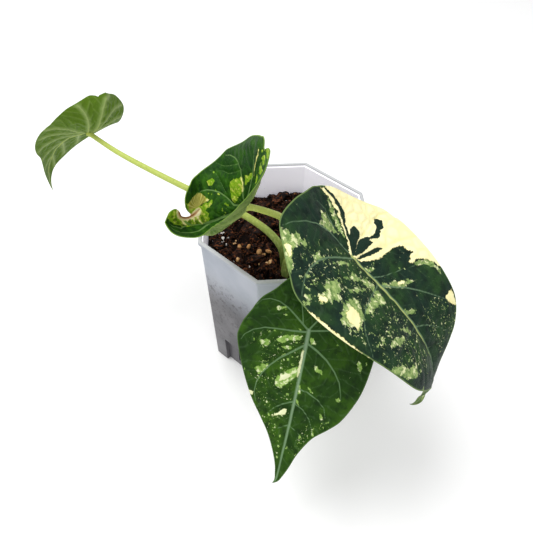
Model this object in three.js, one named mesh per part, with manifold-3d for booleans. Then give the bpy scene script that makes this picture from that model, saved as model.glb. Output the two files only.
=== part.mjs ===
// A young aroid plant with four variegated heart-shaped leaves, in a clear eight-sided plastic pot.
// Millimetres, +Z up. The origin is the middle of the pot's underside, and -Y is the front.
import * as THREE from 'three';
import Module from 'manifold-3d';

const wasm = await Module();
wasm.setup();

// Pot
const potHeight = 110;
const lipHeight = 3;
const lipOverhang = 1.2;
const rimReach = 46.9;
const rimHalfSide = 16.8;
const footReach = 43.5;
const footHalfSide = 15.5;
const wallThickness = 1.5;
const floorThickness = 2;
const alcoveWidth = 21;
const alcoveHeight = 24;
const alcoveDepth = 2.6;
const drainWidth = 4;
const drainBottom = 5;
const drainTop = 18;

// Potting mix
const mixTop = 91;
const mixGap = 0.35;
const lumpCount = 44;
const lumpSides = 32;
const lumpRings = 9;

// Blades and leaf stalks
const bladeThickness = 0.9;
const keelDepth = 0.7;
const panelRise = 0.55;
const veinSink = 0.15;
const rowsPerHalf = 28;
const columnsPerHalf = 6;
const stalkSides = 8;
const stalkGap = 0.3;
const stalkTurn = 1.6;
const holeGap = 0.4;

const colours = {
  pot: new THREE.MeshStandardMaterial({ color: 0xc3c8cf, roughness: 0.35, metalness: 0 }),
  mix: new THREE.MeshStandardMaterial({ color: 0x2a1712, roughness: 0.95, metalness: 0 }),
  stalk: new THREE.MeshStandardMaterial({ color: 0x9aa84f, roughness: 0.5, metalness: 0 }),
  dark: new THREE.MeshStandardMaterial({ color: 0x2c4a33, roughness: 0.45, metalness: 0 }),
  fresh: new THREE.MeshStandardMaterial({ color: 0x2f5a21, roughness: 0.45, metalness: 0 }),
  olive: new THREE.MeshStandardMaterial({ color: 0x5d7a39, roughness: 0.55, metalness: 0 }),
};

// Each blade is drawn flat first, with x along the midrib from where the stalk joins and y across.
// left and right hold the two edges, from the notch between the lobes round to the tip.
// at is the place where the stalk joins. heading, climb and roll are degrees.
// droop bends the front of the midrib down, lobeDroop its back, and swerve and twist turn it.
// fold lifts a half at the midrib, foldTip adds to it towards the tip and cup curls its edge up.
// hook turns the drawn-out tip: degrees aside, degrees down, and how far along the midrib it starts.
const leafShapes = {
  back_left: {
    at: [-107.3, 44.7, 137.7],
    heading: 159,
    climb: -17,
    roll: 26,
    front: 51,
    tip: 52.5,
    back: 29,
    droop: [100, 1.4],
    lobeDroop: -95,
    swerve: [25, 1.2],
    lobeSwerve: 0,
    twist: -5,
    hook: [0, 0, 50],
    half: [27.5, 26.5],
    fold: [13, 9],
    foldTip: [-27, -22],
    cup: [2, -7],
    cupTip: [0, 0],
    pinch: [0, 0, 1],
    left: [[-29.5, 0], [-28.6, 3.5], [-27.8, 4.3], [-28.8, 6], [-29, 10], [-24, 17], [-17, 23], [-5, 27.5],
      [7, 26.5], [18, 24], [25, 20], [30, 14], [36, 10], [43, 6.5], [52.5, 0]],
    right: [[-29.5, 0], [-29, 4], [-28, 12], [-23.5, 18], [-18, 21.5], [-8, 23.5], [3, 27.5], [12, 29],
      [20, 25.5], [27, 20], [33, 14.5], [39, 7], [45, 3], [52.5, 0]],
    colour: colours.olive,
  },
  cupped: {
    at: [-21, -31.7, 148.2],
    heading: 139,
    climb: -65,
    roll: -56,
    front: 66,
    tip: 66,
    back: 33,
    droop: [-203, 1],
    lobeDroop: -5,
    swerve: [-16, 1.2],
    lobeSwerve: -16,
    twist: -10,
    hook: [0, 0, 64],
    half: [22, 28],
    fold: [9, 24],
    foldTip: [16, 30],
    cup: [88, -32],
    cupTip: [-45, 0],
    pinch: [16, 6, 20],
    left: [[-33, 0], [-38, 3], [-40, 8], [-35, 12], [-27, 15], [-15, 16.5], [0, 18], [10, 17.5], [20, 16],
      [30, 14.5], [40, 13.5], [50, 12], [58, 9], [66, 0]],
    right: [[-33, 0], [-37, 1], [-40, 3], [-39, 6], [-34.5, 11], [-28.5, 17], [-20, 22], [-7, 28],
      [0.5, 29.3], [15, 26.6], [25, 24], [38.5, 20.5], [45, 16], [46, 9], [51, 5.5], [57, 7], [61, 5.5], [66, 0]],
    colour: colours.fresh,
  },
  front: {
    at: [6.2, -73.7, 106.3],
    heading: -108,
    climb: -46,
    roll: -4,
    front: 75,
    tip: 76,
    back: 25,
    droop: [-4, 1.5],
    lobeDroop: -7,
    swerve: [-4, 1.6],
    lobeSwerve: -14,
    twist: 22,
    hook: [-40, 0, 72],
    half: [31.5, 31.5],
    fold: [7, 9],
    foldTip: [-1, -15],
    cup: [-16, -1],
    cupTip: [0, 0],
    pinch: [0, 0, 1],
    left: [[-24, 0], [-27, 5], [-26, 12], [-20, 20], [-10, 28], [1, 32], [10, 31.7], [22, 29.7], [30.5, 26.6],
      [38, 22.6], [43, 18], [49, 12], [58, 7.2], [66, 4.6], [72, 2.2], [76, 0]],
    right: [[-24, 0], [-27, 5], [-26.5, 11], [-21, 18], [-16, 24], [-6, 28.5], [4.5, 32], [11, 32], [25, 27.5],
      [38, 21.5], [46.5, 15.4], [53.5, 10], [60.5, 5.8], [67, 2.6], [72, 1.2], [76, 0]],
    colour: colours.fresh,
  },
  right: {
    at: [22.5, -65.7, 147.2],
    heading: -48,
    climb: -26,
    roll: -17,
    front: 93,
    tip: 98,
    back: 32,
    droop: [78, 1.8],
    lobeDroop: -23,
    swerve: [25, 0.5],
    lobeSwerve: 16,
    twist: 15,
    hook: [-180, -60, 87],
    half: [38.5, 38],
    fold: [5, 15],
    foldTip: [18, 8],
    cup: [5, -34],
    cupTip: [0, 0],
    pinch: [0, 0, 1],
    left: [[-32, 0], [-33, 5], [-32, 13], [-25, 25], [-16, 35.5], [-8.5, 38.8], [5.5, 38.1], [22, 35],
      [39, 31.3], [50, 28], [58.5, 21.2], [63, 15], [69, 7.1], [75, 3.5], [84, 1.6], [92, 0.9], [98, 0]],
    right: [[-32, 0], [-34.5, 4], [-33, 10], [-30, 19], [-24, 29], [-15.6, 32.5], [-8, 36], [0, 39.3],
      [15.6, 37], [35, 31], [51, 25.5], [60, 19], [68, 11], [76, 5.5], [84, 2.4], [92, 1], [98, 0]],
    colour: colours.dark,
  },
};

// Points that each leaf stalk passes from its hole in the potting mix, with its widths in millimetres.
// join is how far along the midrib from the blade's own middle the stalk meets it.
const stalkPaths = {
  back_left: {
    points: [[-0.3, -17.2, 82], [-0.9, -16.9, 94], [-3, -16.1, 103.4], [-8.6, -11.4, 108.9], [-17.3, -5.8, 113.3],
      [-24.4, -2, 115.7], [-52.4, 11.1, 123], [-88.3, 29.6, 133.4]],
    widths: [4.4, 2.6],
    join: 0,
  },
  cupped: {
    points: [[4.7, -15.3, 82], [5, -15.5, 94], [4.4, -19.5, 113], [1.1, -22.3, 124.3], [-3.2, -24.1, 131.8],
      [-10, -27.6, 139.2]],
    widths: [4.4, 3],
    join: 2.5,
  },
  front: {
    points: [[-1.2, -26.5, 82], [-1.2, -27, 94], [-0.5, -33, 110], [2, -46, 118.5], [5, -58, 114]],
    widths: [4.4, 3],
    join: 0,
  },
  right: {
    points: [[5.4, -23.8, 82], [5.8, -24.2, 94], [7.5, -31, 112], [12, -46, 130], [18, -58, 141]],
    widths: [4.4, 3.2],
    join: 0,
  },
};

// A repeatable stand-in for chance, so that every run gives the same plant.
function makeChance(seed) {
  let state = seed;
  return function next() {
    state = (state * 1664525 + 1013904223) % 4294967296;
    return state / 4294967296;
  };
}

// Closed mesh from a list of corners and a list of triangles.
function makeGeometry(corners, triangles) {
  const geometry = new THREE.BufferGeometry();
  geometry.setAttribute('position', new THREE.Float32BufferAttribute(corners.flat(), 3));
  geometry.setIndex(triangles.flat());
  geometry.computeVertexNormals();
  return geometry;
}

function toSolid(geometry) {
  const position = geometry.getAttribute('position');
  const mesh = new wasm.Mesh({
    numProp: 3,
    vertProperties: new Float32Array(position.array),
    triVerts: new Uint32Array(geometry.getIndex().array),
  });
  mesh.merge();
  return new wasm.Manifold(mesh);
}

function fromSolid(solid) {
  const mesh = solid.getMesh();
  const geometry = new THREE.BufferGeometry();
  const count = mesh.vertProperties.length / mesh.numProp;
  const corners = [];
  for (let i = 0; i < count; i += 1) {
    corners.push(mesh.vertProperties[i * mesh.numProp]);
    corners.push(mesh.vertProperties[i * mesh.numProp + 1]);
    corners.push(mesh.vertProperties[i * mesh.numProp + 2]);
  }
  geometry.setAttribute('position', new THREE.Float32BufferAttribute(corners, 3));
  geometry.setIndex(Array.from(mesh.triVerts));
  geometry.computeVertexNormals();
  return geometry;
}

// Corners of the eight-sided outline whose short sides face along the axes.
function octagon(reach, halfSide) {
  return [
    [halfSide, -reach],
    [reach, -halfSide],
    [reach, halfSide],
    [halfSide, reach],
    [-halfSide, reach],
    [-reach, halfSide],
    [-reach, -halfSide],
    [-halfSide, -reach],
  ];
}

// The pot's outside at a height, moved inwards by an inset measured square to the sides.
function potOutline(z, inset) {
  const t = z / potHeight;
  const reach = footReach + (rimReach - lipOverhang - footReach) * t;
  const halfSide = footHalfSide + (rimHalfSide - footHalfSide) * t;
  return octagon(reach - inset, halfSide - inset * (Math.SQRT2 - 1));
}

// Stack of outlines with the same number of corners, closed at both ends.
function stackSolid(levels) {
  const sides = levels[0].outline.length;
  const corners = [];
  const triangles = [];
  for (const level of levels) {
    for (const [x, y] of level.outline) {
      corners.push([x, y, level.z]);
    }
  }
  for (let k = 0; k < levels.length - 1; k += 1) {
    for (let i = 0; i < sides; i += 1) {
      const a = k * sides + i;
      const b = k * sides + ((i + 1) % sides);
      triangles.push([a, b, b + sides]);
      triangles.push([a, b + sides, a + sides]);
    }
  }
  const last = (levels.length - 1) * sides;
  for (let i = 1; i < sides - 1; i += 1) {
    triangles.push([0, i + 1, i]);
    triangles.push([last, last + i, last + i + 1]);
  }
  return toSolid(makeGeometry(corners, triangles));
}

// Box standing in the middle of one of the four slanted long sides.
function sideBox(turn, width, depth, outwards, bottom, top) {
  const side = (footReach + footHalfSide) / Math.SQRT2;
  const geometry = new THREE.BoxGeometry(depth + outwards, width, top - bottom);
  geometry.deleteAttribute('normal');
  geometry.deleteAttribute('uv');
  geometry.translate(side + (outwards - depth) / 2, 0, (top + bottom) / 2);
  geometry.rotateZ(turn);
  return toSolid(geometry);
}

const sideTurns = [0.25, 0.75, 1.25, 1.75].map((turn) => turn * Math.PI);

function makePotSolids() {
  const lipFoot = potHeight - lipHeight;
  let outside = stackSolid([
    { outline: potOutline(0, 0), z: 0 },
    { outline: potOutline(lipFoot, 0), z: lipFoot },
    { outline: potOutline(lipFoot + 0.6, -lipOverhang), z: lipFoot + 0.6 },
    { outline: potOutline(potHeight, -lipOverhang), z: potHeight },
  ]);
  let inside = stackSolid([
    { outline: potOutline(floorThickness, wallThickness), z: floorThickness },
    { outline: potOutline(potHeight + 5, wallThickness), z: potHeight + 5 },
  ]);
  let filling = stackSolid([
    { outline: potOutline(floorThickness + mixGap, wallThickness + mixGap), z: floorThickness + mixGap },
    { outline: potOutline(potHeight + 5, wallThickness + mixGap), z: potHeight + 5 },
  ]);
  let drains = null;
  for (const turn of sideTurns) {
    const alcove = sideBox(turn, alcoveWidth, alcoveDepth, 8, -2, alcoveHeight);
    const behind = alcoveDepth + wallThickness;
    const wall = sideBox(turn, alcoveWidth + 2 * wallThickness, behind, 8, -2, alcoveHeight + wallThickness);
    const clearWidth = alcoveWidth + 2 * wallThickness + 2 * mixGap;
    const clearTop = alcoveHeight + wallThickness + mixGap;
    const clear = sideBox(turn, clearWidth, behind + mixGap, 8, -2, clearTop);
    const drain = sideBox(turn, drainWidth, behind + 1, 8, drainBottom, drainTop);
    outside = outside.subtract(alcove);
    inside = inside.subtract(wall);
    filling = filling.subtract(clear);
    drains = drains === null ? drain : drains.add(drain);
  }
  return { pot: outside.subtract(inside).subtract(drains), filling };
}

// Height of the broken surface of the potting mix, lower at the back, made of tilted flat chunks.
const chunkChance = makeChance(41);
const chunks = [];
for (let i = 0; i < 70; i += 1) {
  chunks.push({
    x: (chunkChance() - 0.5) * 88,
    y: (chunkChance() - 0.5) * 88,
    reach: 4 + chunkChance() * 5,
    lift: chunkChance() * 4.5,
    tiltX: (chunkChance() - 0.5) * 0.5,
    tiltY: (chunkChance() - 0.5) * 0.5,
  });
}

function mixHeight(x, y) {
  let z = mixTop - 3 - Math.max(0, y - 20) * 0.12;
  for (const chunk of chunks) {
    const dx = x - chunk.x;
    const dy = y - chunk.y;
    const away = Math.hypot(dx, dy) / chunk.reach;
    if (away < 1) {
      const top = mixTop - 3 + chunk.lift * (1 - away ** 4) + chunk.tiltX * dx + chunk.tiltY * dy;
      z = Math.max(z, top - Math.max(0, y - 20) * 0.12);
    }
  }
  return z;
}

// Solid under the broken surface: rings of corners round the middle, with straight sides below.
function makeMixBody() {
  const edge = 50;
  const corners = [[0, 0, mixHeight(0, 0)]];
  const triangles = [];
  for (let ring = 1; ring <= lumpRings; ring += 1) {
    for (let i = 0; i < lumpSides; i += 1) {
      const turn = ((i + (ring % 2) * 0.5) / lumpSides) * 2 * Math.PI;
      const reach = (ring / lumpRings) * edge;
      const x = reach * Math.cos(turn);
      const y = reach * Math.sin(turn);
      corners.push([x, y, mixHeight(x, y)]);
    }
  }
  const at = (ring, i) => 1 + (ring - 1) * lumpSides + (i % lumpSides);
  for (let i = 0; i < lumpSides; i += 1) {
    triangles.push([0, at(1, i), at(1, i + 1)]);
  }
  for (let ring = 1; ring < lumpRings; ring += 1) {
    const shift = ring % 2;
    for (let i = 0; i < lumpSides; i += 1) {
      if (shift === 1) {
        triangles.push([at(ring, i), at(ring + 1, i + 1), at(ring, i + 1)]);
        triangles.push([at(ring, i), at(ring + 1, i), at(ring + 1, i + 1)]);
      } else {
        triangles.push([at(ring, i), at(ring + 1, i), at(ring, i + 1)]);
        triangles.push([at(ring, i + 1), at(ring + 1, i), at(ring + 1, i + 1)]);
      }
    }
  }
  const foot = corners.length;
  for (let i = 0; i < lumpSides; i += 1) {
    const [x, y] = corners[at(lumpRings, i)];
    corners.push([x, y, 0]);
  }
  corners.push([0, 0, 0]);
  for (let i = 0; i < lumpSides; i += 1) {
    const next = (i + 1) % lumpSides;
    triangles.push([at(lumpRings, i), foot + i, foot + next]);
    triangles.push([at(lumpRings, i), foot + next, at(lumpRings, i + 1)]);
    triangles.push([foot + lumpSides, foot + next, foot + i]);
  }
  return toSolid(makeGeometry(corners, triangles));
}

// Bark chunks pressed into the surface, fewest sides, each with its own size and turn.
function makeMix(filling, holes) {
  const chance = makeChance(7);
  let mix = makeMixBody();
  for (let i = 0; i < lumpCount; i += 1) {
    const turn = chance() * 2 * Math.PI;
    const reach = Math.sqrt(chance()) * 40;
    const x = reach * Math.cos(turn);
    const y = reach * Math.sin(turn);
    const size = 1.8 + chance() * 2.2;
    const lump = new THREE.IcosahedronGeometry(size, 0);
    lump.deleteAttribute('normal');
    lump.deleteAttribute('uv');
    lump.scale(1 + chance() * 0.9, 1, 0.55 + chance() * 0.3);
    lump.rotateX(chance() * 3);
    lump.rotateZ(chance() * 6);
    lump.translate(x, y, mixHeight(x, y) + size * 0.1);
    const corners = lump.getAttribute('position').count;
    lump.setIndex(Array.from({ length: corners }, (unused, k) => k));
    mix = mix.add(toSolid(lump));
  }
  mix = mix.intersect(filling);
  for (const hole of holes) {
    mix = mix.subtract(hole);
  }
  const parts = mix.decompose();
  parts.sort((a, b) => b.volume() - a.volume());
  return parts[0];
}

const radians = (degrees) => (degrees * Math.PI) / 180;

// The blade's own directions where the stalk joins: along it, to its left and out of its upper face.
function leafAxes(leaf) {
  const heading = radians(leaf.heading);
  const climb = radians(leaf.climb);
  const roll = radians(leaf.roll);
  const along = new THREE.Vector3(
    Math.cos(heading) * Math.cos(climb),
    Math.sin(heading) * Math.cos(climb),
    Math.sin(climb),
  );
  const level = new THREE.Vector3(-Math.sin(heading), Math.cos(heading), 0);
  const upright = new THREE.Vector3().crossVectors(along, level);
  const left = level.clone().multiplyScalar(Math.cos(roll));
  left.addScaledVector(upright, Math.sin(roll));
  const up = level.clone().multiplyScalar(-Math.sin(roll));
  up.addScaledVector(upright, Math.cos(roll));
  return { along, left, up };
}

// Share of the hooked tip that lies behind a distance along the midrib.
function hookShare(leaf, s) {
  return Math.max(0, (s - leaf.hook[2]) / (leaf.tip - leaf.hook[2]));
}

// How far the midrib has pitched down and swerved at a distance from the stalk.
function midribPitch(leaf, s) {
  if (s >= 0) {
    const droop = radians(leaf.droop[0]) * (s / leaf.front) ** leaf.droop[1];
    return droop + radians(leaf.hook[1]) * hookShare(leaf, s);
  }
  return -radians(leaf.lobeDroop) * (-s / leaf.back);
}

function midribSwerve(leaf, s) {
  if (s >= 0) {
    const swerve = radians(leaf.swerve[0]) * (s / leaf.front) ** leaf.swerve[1];
    return swerve + radians(leaf.hook[0]) * hookShare(leaf, s);
  }
  return -radians(leaf.lobeSwerve) * (-s / leaf.back);
}

// Place in space of a flat point of the blade, by walking along the midrib and then out across.
function bendPoint(leaf, axes, x, y) {
  const steps = 60;
  let ahead = 0;
  let aside = 0;
  let below = 0;
  for (let i = 0; i < steps; i += 1) {
    const s = (x * (i + 0.5)) / steps;
    const pitch = midribPitch(leaf, s);
    const swerve = midribSwerve(leaf, s);
    ahead += (Math.cos(pitch) * Math.cos(swerve) * x) / steps;
    aside += (Math.cos(pitch) * Math.sin(swerve) * x) / steps;
    below -= (Math.sin(pitch) * x) / steps;
  }
  const pitch = midribPitch(leaf, x);
  const swerve = midribSwerve(leaf, x);
  const forward = axes.along.clone().multiplyScalar(Math.cos(swerve));
  forward.addScaledVector(axes.left, Math.sin(swerve));
  const across = axes.along.clone().multiplyScalar(-Math.sin(swerve));
  across.addScaledVector(axes.left, Math.cos(swerve));
  const out = forward.multiplyScalar(Math.sin(pitch));
  out.addScaledVector(axes.up, Math.cos(pitch));
  const twist = (radians(leaf.twist) * x) / leaf.front;
  const side = across.clone().multiplyScalar(Math.cos(twist)).addScaledVector(out, Math.sin(twist));
  const face = out.clone().multiplyScalar(Math.cos(twist)).addScaledVector(across, -Math.sin(twist));
  const half = y >= 0 ? 0 : 1;
  const share = Math.min(1, Math.max(-1, x / leaf.front));
  const bump = half === 0 ? leaf.pinch[0] * Math.exp(-(((x - leaf.pinch[1]) / leaf.pinch[2]) ** 2)) : 0;
  const fold = leaf.fold[half] + leaf.foldTip[half] * share + bump;
  const cup = leaf.cup[half] + leaf.cupTip[half] * Math.max(0, share);
  let outwards = 0;
  let upwards = 0;
  for (let i = 0; i < steps; i += 1) {
    const r = (Math.abs(y) * (i + 0.5)) / steps;
    const angle = radians(fold + (cup * r) / leaf.half[half]);
    outwards += (Math.cos(angle) * Math.abs(y)) / steps;
    upwards += (Math.sin(angle) * Math.abs(y)) / steps;
  }
  const point = new THREE.Vector3(...leaf.at);
  point.addScaledVector(axes.along, ahead).addScaledVector(axes.left, aside).addScaledVector(axes.up, below);
  point.addScaledVector(side, y >= 0 ? outwards : -outwards).addScaledVector(face, upwards);
  return point;
}

// Smooth edge through the given flat points, with the share of its length at every step.
function smoothEdge(points) {
  const line = [];
  const count = points.length;
  for (let i = 0; i < count - 1; i += 1) {
    const b = points[i];
    const c = points[i + 1];
    const a = i > 0 ? points[i - 1] : [2 * b[0] - c[0], 2 * b[1] - c[1]];
    const d = i < count - 2 ? points[i + 2] : [2 * c[0] - b[0], 2 * c[1] - b[1]];
    for (let k = 0; k < 10; k += 1) {
      const t = k / 10;
      line.push([0, 1].map((n) => 0.5 * (2 * b[n] + (c[n] - a[n]) * t
        + (2 * a[n] - 5 * b[n] + 4 * c[n] - d[n]) * t * t
        + (3 * b[n] - a[n] - 3 * c[n] + d[n]) * t * t * t)));
    }
  }
  line.push(points[count - 1]);
  const shares = [0];
  for (let i = 1; i < line.length; i += 1) {
    shares.push(shares[i - 1] + Math.hypot(line[i][0] - line[i - 1][0], line[i][1] - line[i - 1][1]));
  }
  const total = shares[shares.length - 1];
  return { line, shares: shares.map((share) => share / total) };
}

function edgePoint(edge, share) {
  let i = 1;
  while (i < edge.line.length - 1 && edge.shares[i] < share) {
    i += 1;
  }
  const t = (share - edge.shares[i - 1]) / (edge.shares[i] - edge.shares[i - 1]);
  return [0, 1].map((n) => edge.line[i - 1][n] + t * (edge.line[i][n] - edge.line[i - 1][n]));
}

// Share of the edge from which rows start on the midrib and no longer where the stalk joins.
function fanShare(leaf, edges) {
  const shares = edges.map((edge) => {
    const i = edge.line.findIndex((point) => point[0] >= 0.1 * leaf.front);
    return edge.shares[i];
  });
  return (shares[0] + shares[1]) / 2;
}

// Flat point on a row: rows leave the stalk like a fan, then the midrib, and arch out to the edge.
function rowPoint(leaf, edge, leaving, row, column) {
  const share = row / rowsPerHalf;
  const [edgeX, edgeY] = edgePoint(edge, share);
  const q = Math.min(1, Math.max(0, (share - leaving) / (1 - leaving)));
  const start = leaf.tip * q ** 1.2;
  const arch = Math.min(1, start / 12);
  const middleX = start + (0.5 - 0.18 * arch) * (edgeX - start);
  const middleY = (0.5 + 0.12 * arch) * edgeY;
  const v = column / columnsPerHalf;
  const x = (1 - v) ** 2 * start + 2 * v * (1 - v) * middleX + v * v * edgeX;
  const y = 2 * v * (1 - v) * middleY + v * v * edgeY;
  return [x, y];
}

// Closed thin blade with sunken veins, raised panels between them and a keel under the midrib.
function makeBlade(leaf) {
  const axes = leafAxes(leaf);
  const flat = [];
  const index = new Map();
  const grid = [[], []];
  const edges = [smoothEdge(leaf.left), smoothEdge(leaf.right)];
  const leaving = fanShare(leaf, edges);
  for (const half of [0, 1]) {
    for (let row = 0; row <= rowsPerHalf; row += 1) {
      grid[half][row] = [];
      for (let column = 0; column <= columnsPerHalf; column += 1) {
        const [x, y] = rowPoint(leaf, edges[half], leaving, row, column);
        const signed = half === 0 ? y : -y;
        const key = `${x.toFixed(3)} ${(signed + 0).toFixed(3)}`.replace('-0.000', '0.000');
        if (!index.has(key)) {
          const v = column / columnsPerHalf;
          const panel = row % 2 === 1 ? panelRise : -veinSink;
          index.set(key, flat.length);
          flat.push({ x, y: signed, relief: panel * Math.sin(Math.PI * v) ** 0.8, keel: v === 0 });
        }
        grid[half][row][column] = index.get(key);
      }
    }
  }
  const corners = [];
  for (const face of [1, -1]) {
    for (const point of flat) {
      const small = 0.05;
      const side = point.y >= 0 ? small : -small;
      const here = bendPoint(leaf, axes, point.x, point.y);
      const ahead = bendPoint(leaf, axes, point.x + small, point.y);
      const across = bendPoint(leaf, axes, point.x, point.y + side);
      const out = ahead.sub(here).cross(across.sub(here)).multiplyScalar(Math.sign(side)).normalize();
      const taper = Math.max(0, 1 - Math.abs(point.x) / leaf.front);
      const keel = face < 0 && point.keel ? keelDepth * taper : 0;
      here.addScaledVector(out, point.relief + (face * bladeThickness) / 2 - keel);
      corners.push([here.x, here.y, here.z]);
    }
  }
  const triangles = [];
  const addPair = (a, b, c) => {
    if (a === b || b === c || a === c) {
      return;
    }
    triangles.push([a, b, c]);
    triangles.push([a + flat.length, c + flat.length, b + flat.length]);
  };
  const edgeLoop = [];
  for (const half of [0, 1]) {
    for (let row = 0; row < rowsPerHalf; row += 1) {
      for (let column = 0; column < columnsPerHalf; column += 1) {
        const a = grid[half][row][column];
        const b = grid[half][row][column + 1];
        const c = grid[half][row + 1][column + 1];
        const d = grid[half][row + 1][column];
        if (half === 0) {
          addPair(a, c, b);
          addPair(a, d, c);
        } else {
          addPair(a, b, c);
          addPair(a, c, d);
        }
      }
      const p = grid[half][row][columnsPerHalf];
      const q = grid[half][row + 1][columnsPerHalf];
      if (p !== q) {
        edgeLoop.push(half === 0 ? [p, q] : [q, p]);
      }
    }
  }
  for (const [p, q] of edgeLoop) {
    triangles.push([p, q, q + flat.length]);
    triangles.push([p, q + flat.length, p + flat.length]);
  }
  return makeGeometry(corners, triangles);
}

// Round stalk that tapers along a smooth curve, closed at both ends.
function makeStalk(points, widths, grow) {
  const curve = new THREE.CatmullRomCurve3(points.map((point) => new THREE.Vector3(...point)), false, 'centripetal');
  const steps = Math.round(curve.getLength() / 5);
  const frames = curve.computeFrenetFrames(steps, false);
  const corners = [];
  const triangles = [];
  for (let k = 0; k <= steps; k += 1) {
    const t = k / steps;
    const middle = curve.getPointAt(t);
    const radius = (widths[0] + (widths[1] - widths[0]) * t) / 2 + grow;
    for (let i = 0; i < stalkSides; i += 1) {
      const turn = (i / stalkSides) * 2 * Math.PI;
      const corner = middle.clone().addScaledVector(frames.normals[k], radius * Math.cos(turn));
      corner.addScaledVector(frames.binormals[k], radius * Math.sin(turn));
      corners.push([corner.x, corner.y, corner.z]);
    }
  }
  for (let k = 0; k < steps; k += 1) {
    for (let i = 0; i < stalkSides; i += 1) {
      const a = k * stalkSides + i;
      const b = k * stalkSides + ((i + 1) % stalkSides);
      triangles.push([a, b, b + stalkSides]);
      triangles.push([a, b + stalkSides, a + stalkSides]);
    }
  }
  const last = steps * stalkSides;
  for (let i = 1; i < stalkSides - 1; i += 1) {
    triangles.push([0, i + 1, i]);
    triangles.push([last, last + i, last + i + 1]);
  }
  return makeGeometry(corners, triangles);
}

// The stalk turns to meet the blade's underside squarely and stops just clear of its keel.
function stalkPoints(name) {
  const leaf = leafShapes[name];
  const axes = leafAxes(leaf);
  const meet = bendPoint(leaf, axes, stalkPaths[name].join, 0);
  const clear = bladeThickness / 2 + keelDepth + stalkGap;
  const end = meet.clone().addScaledVector(axes.up, -clear);
  const turn = meet.clone().addScaledVector(axes.up, -clear - stalkTurn);
  return [...stalkPaths[name].points, turn.toArray(), end.toArray()];
}

const plant = new THREE.Group();

function addMesh(name, geometry, material) {
  const mesh = new THREE.Mesh(geometry, material);
  mesh.name = name;
  plant.add(mesh);
}

const holes = [];
for (const name of Object.keys(leafShapes)) {
  const path = stalkPaths[name];
  addMesh(`leaf_${name}`, makeBlade(leafShapes[name]), leafShapes[name].colour);
  addMesh(`stalk_${name}`, makeStalk(stalkPoints(name), path.widths, 0), colours.stalk);
  const below = path.points[0].map((value, n) => (n === 2 ? value - holeGap : value));
  const holePoints = [below, ...path.points.slice(1, 4)];
  holes.push(toSolid(makeStalk(holePoints, [path.widths[0], path.widths[0]], holeGap)));
}

const { pot, filling } = makePotSolids();
addMesh('pot', fromSolid(pot), colours.pot);
addMesh('potting_mix', fromSolid(makeMix(filling, holes)), colours.mix);

export default plant;
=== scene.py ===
"""Looks of a young potted aroid with four variegated leaves. Lengths are millimetres until MM is applied."""
import math

import bmesh
import bpy
import numpy as np
from mathutils import Matrix, Vector, noise


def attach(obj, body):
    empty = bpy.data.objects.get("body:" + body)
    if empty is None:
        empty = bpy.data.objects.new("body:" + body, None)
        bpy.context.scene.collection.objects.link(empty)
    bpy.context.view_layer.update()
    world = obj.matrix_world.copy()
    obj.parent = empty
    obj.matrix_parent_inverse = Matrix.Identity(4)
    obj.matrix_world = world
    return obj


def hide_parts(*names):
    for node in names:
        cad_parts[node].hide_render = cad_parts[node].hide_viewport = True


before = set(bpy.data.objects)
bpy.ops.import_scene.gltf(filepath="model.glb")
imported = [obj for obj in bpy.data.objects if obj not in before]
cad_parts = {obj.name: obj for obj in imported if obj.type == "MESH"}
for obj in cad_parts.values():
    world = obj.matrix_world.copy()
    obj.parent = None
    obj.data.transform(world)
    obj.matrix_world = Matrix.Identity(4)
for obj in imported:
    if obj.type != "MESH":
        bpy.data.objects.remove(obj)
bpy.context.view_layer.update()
MM = 0.001

# Camera: its place in millimetres, and its turns in degrees
CAMERA_AT = (-21.3, -214.3, 314.2)
CAMERA_YAW = 3.13
CAMERA_PITCH = 48.89
CAMERA_LENS = 36.14

# Lights and floor, all in metres but the floor's half size
LIGHT_SIZE = 0.7
LIGHT_AIM = (0, 0, 0.08)
WORLD_STRENGTH = 0.66
FLOOR_HALF_SIZE = 2500
FLOOR_LEVEL = -0.0002

# Pot
POT_HEIGHT = 110
LIP_HEIGHT = 3
LIP_OVERHANG = 1.2
RIM_REACH = 46.9
RIM_HALF_SIDE = 16.8
FOOT_REACH = 43.5
FOOT_HALF_SIDE = 15.5
WALL = 1.5
FLOOR = 2
ALCOVE_HALF = 10.5
ALCOVE_HEIGHT = 24
ALCOVE_DEPTH = 2.6
DRAIN_HALF = 2
DRAIN_BOTTOM = 5
DRAIN_TOP = 18
CORNER_ROUND = 1.6
CREASE_DEGREES = 34

# Where the grid lines stand on a long side, in millimetres from its middle, and on a short side and a
# corner, as shares; the drain slot starts at the long side's stop number DRAIN_STOP
LONG_SIDE_STOPS = [-ALCOVE_HALF - 0.35, -ALCOVE_HALF, -7, -4.2, -DRAIN_HALF, 0, DRAIN_HALF, 4.2, 7,
                   ALCOVE_HALF, ALCOVE_HALF + 0.35]
SHORT_SIDE_STOPS = [-0.66, -0.33, 0, 0.33, 0.66]
CORNER_STOPS = [0, 0.2, 0.4, 0.6, 0.8, 1]
DRAIN_STOP = 4

# Heights in metres between which the pot's wall goes dark, its inside turns pale with painted light coming
# through the wall, and its lip begins
DIRT_FADE = (0.098, 0.058)
INNER_PAINTED_LIGHT_FADE = (0.06, 0.076)
LIP_FADE = (0.1086, 0.1096)

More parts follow.
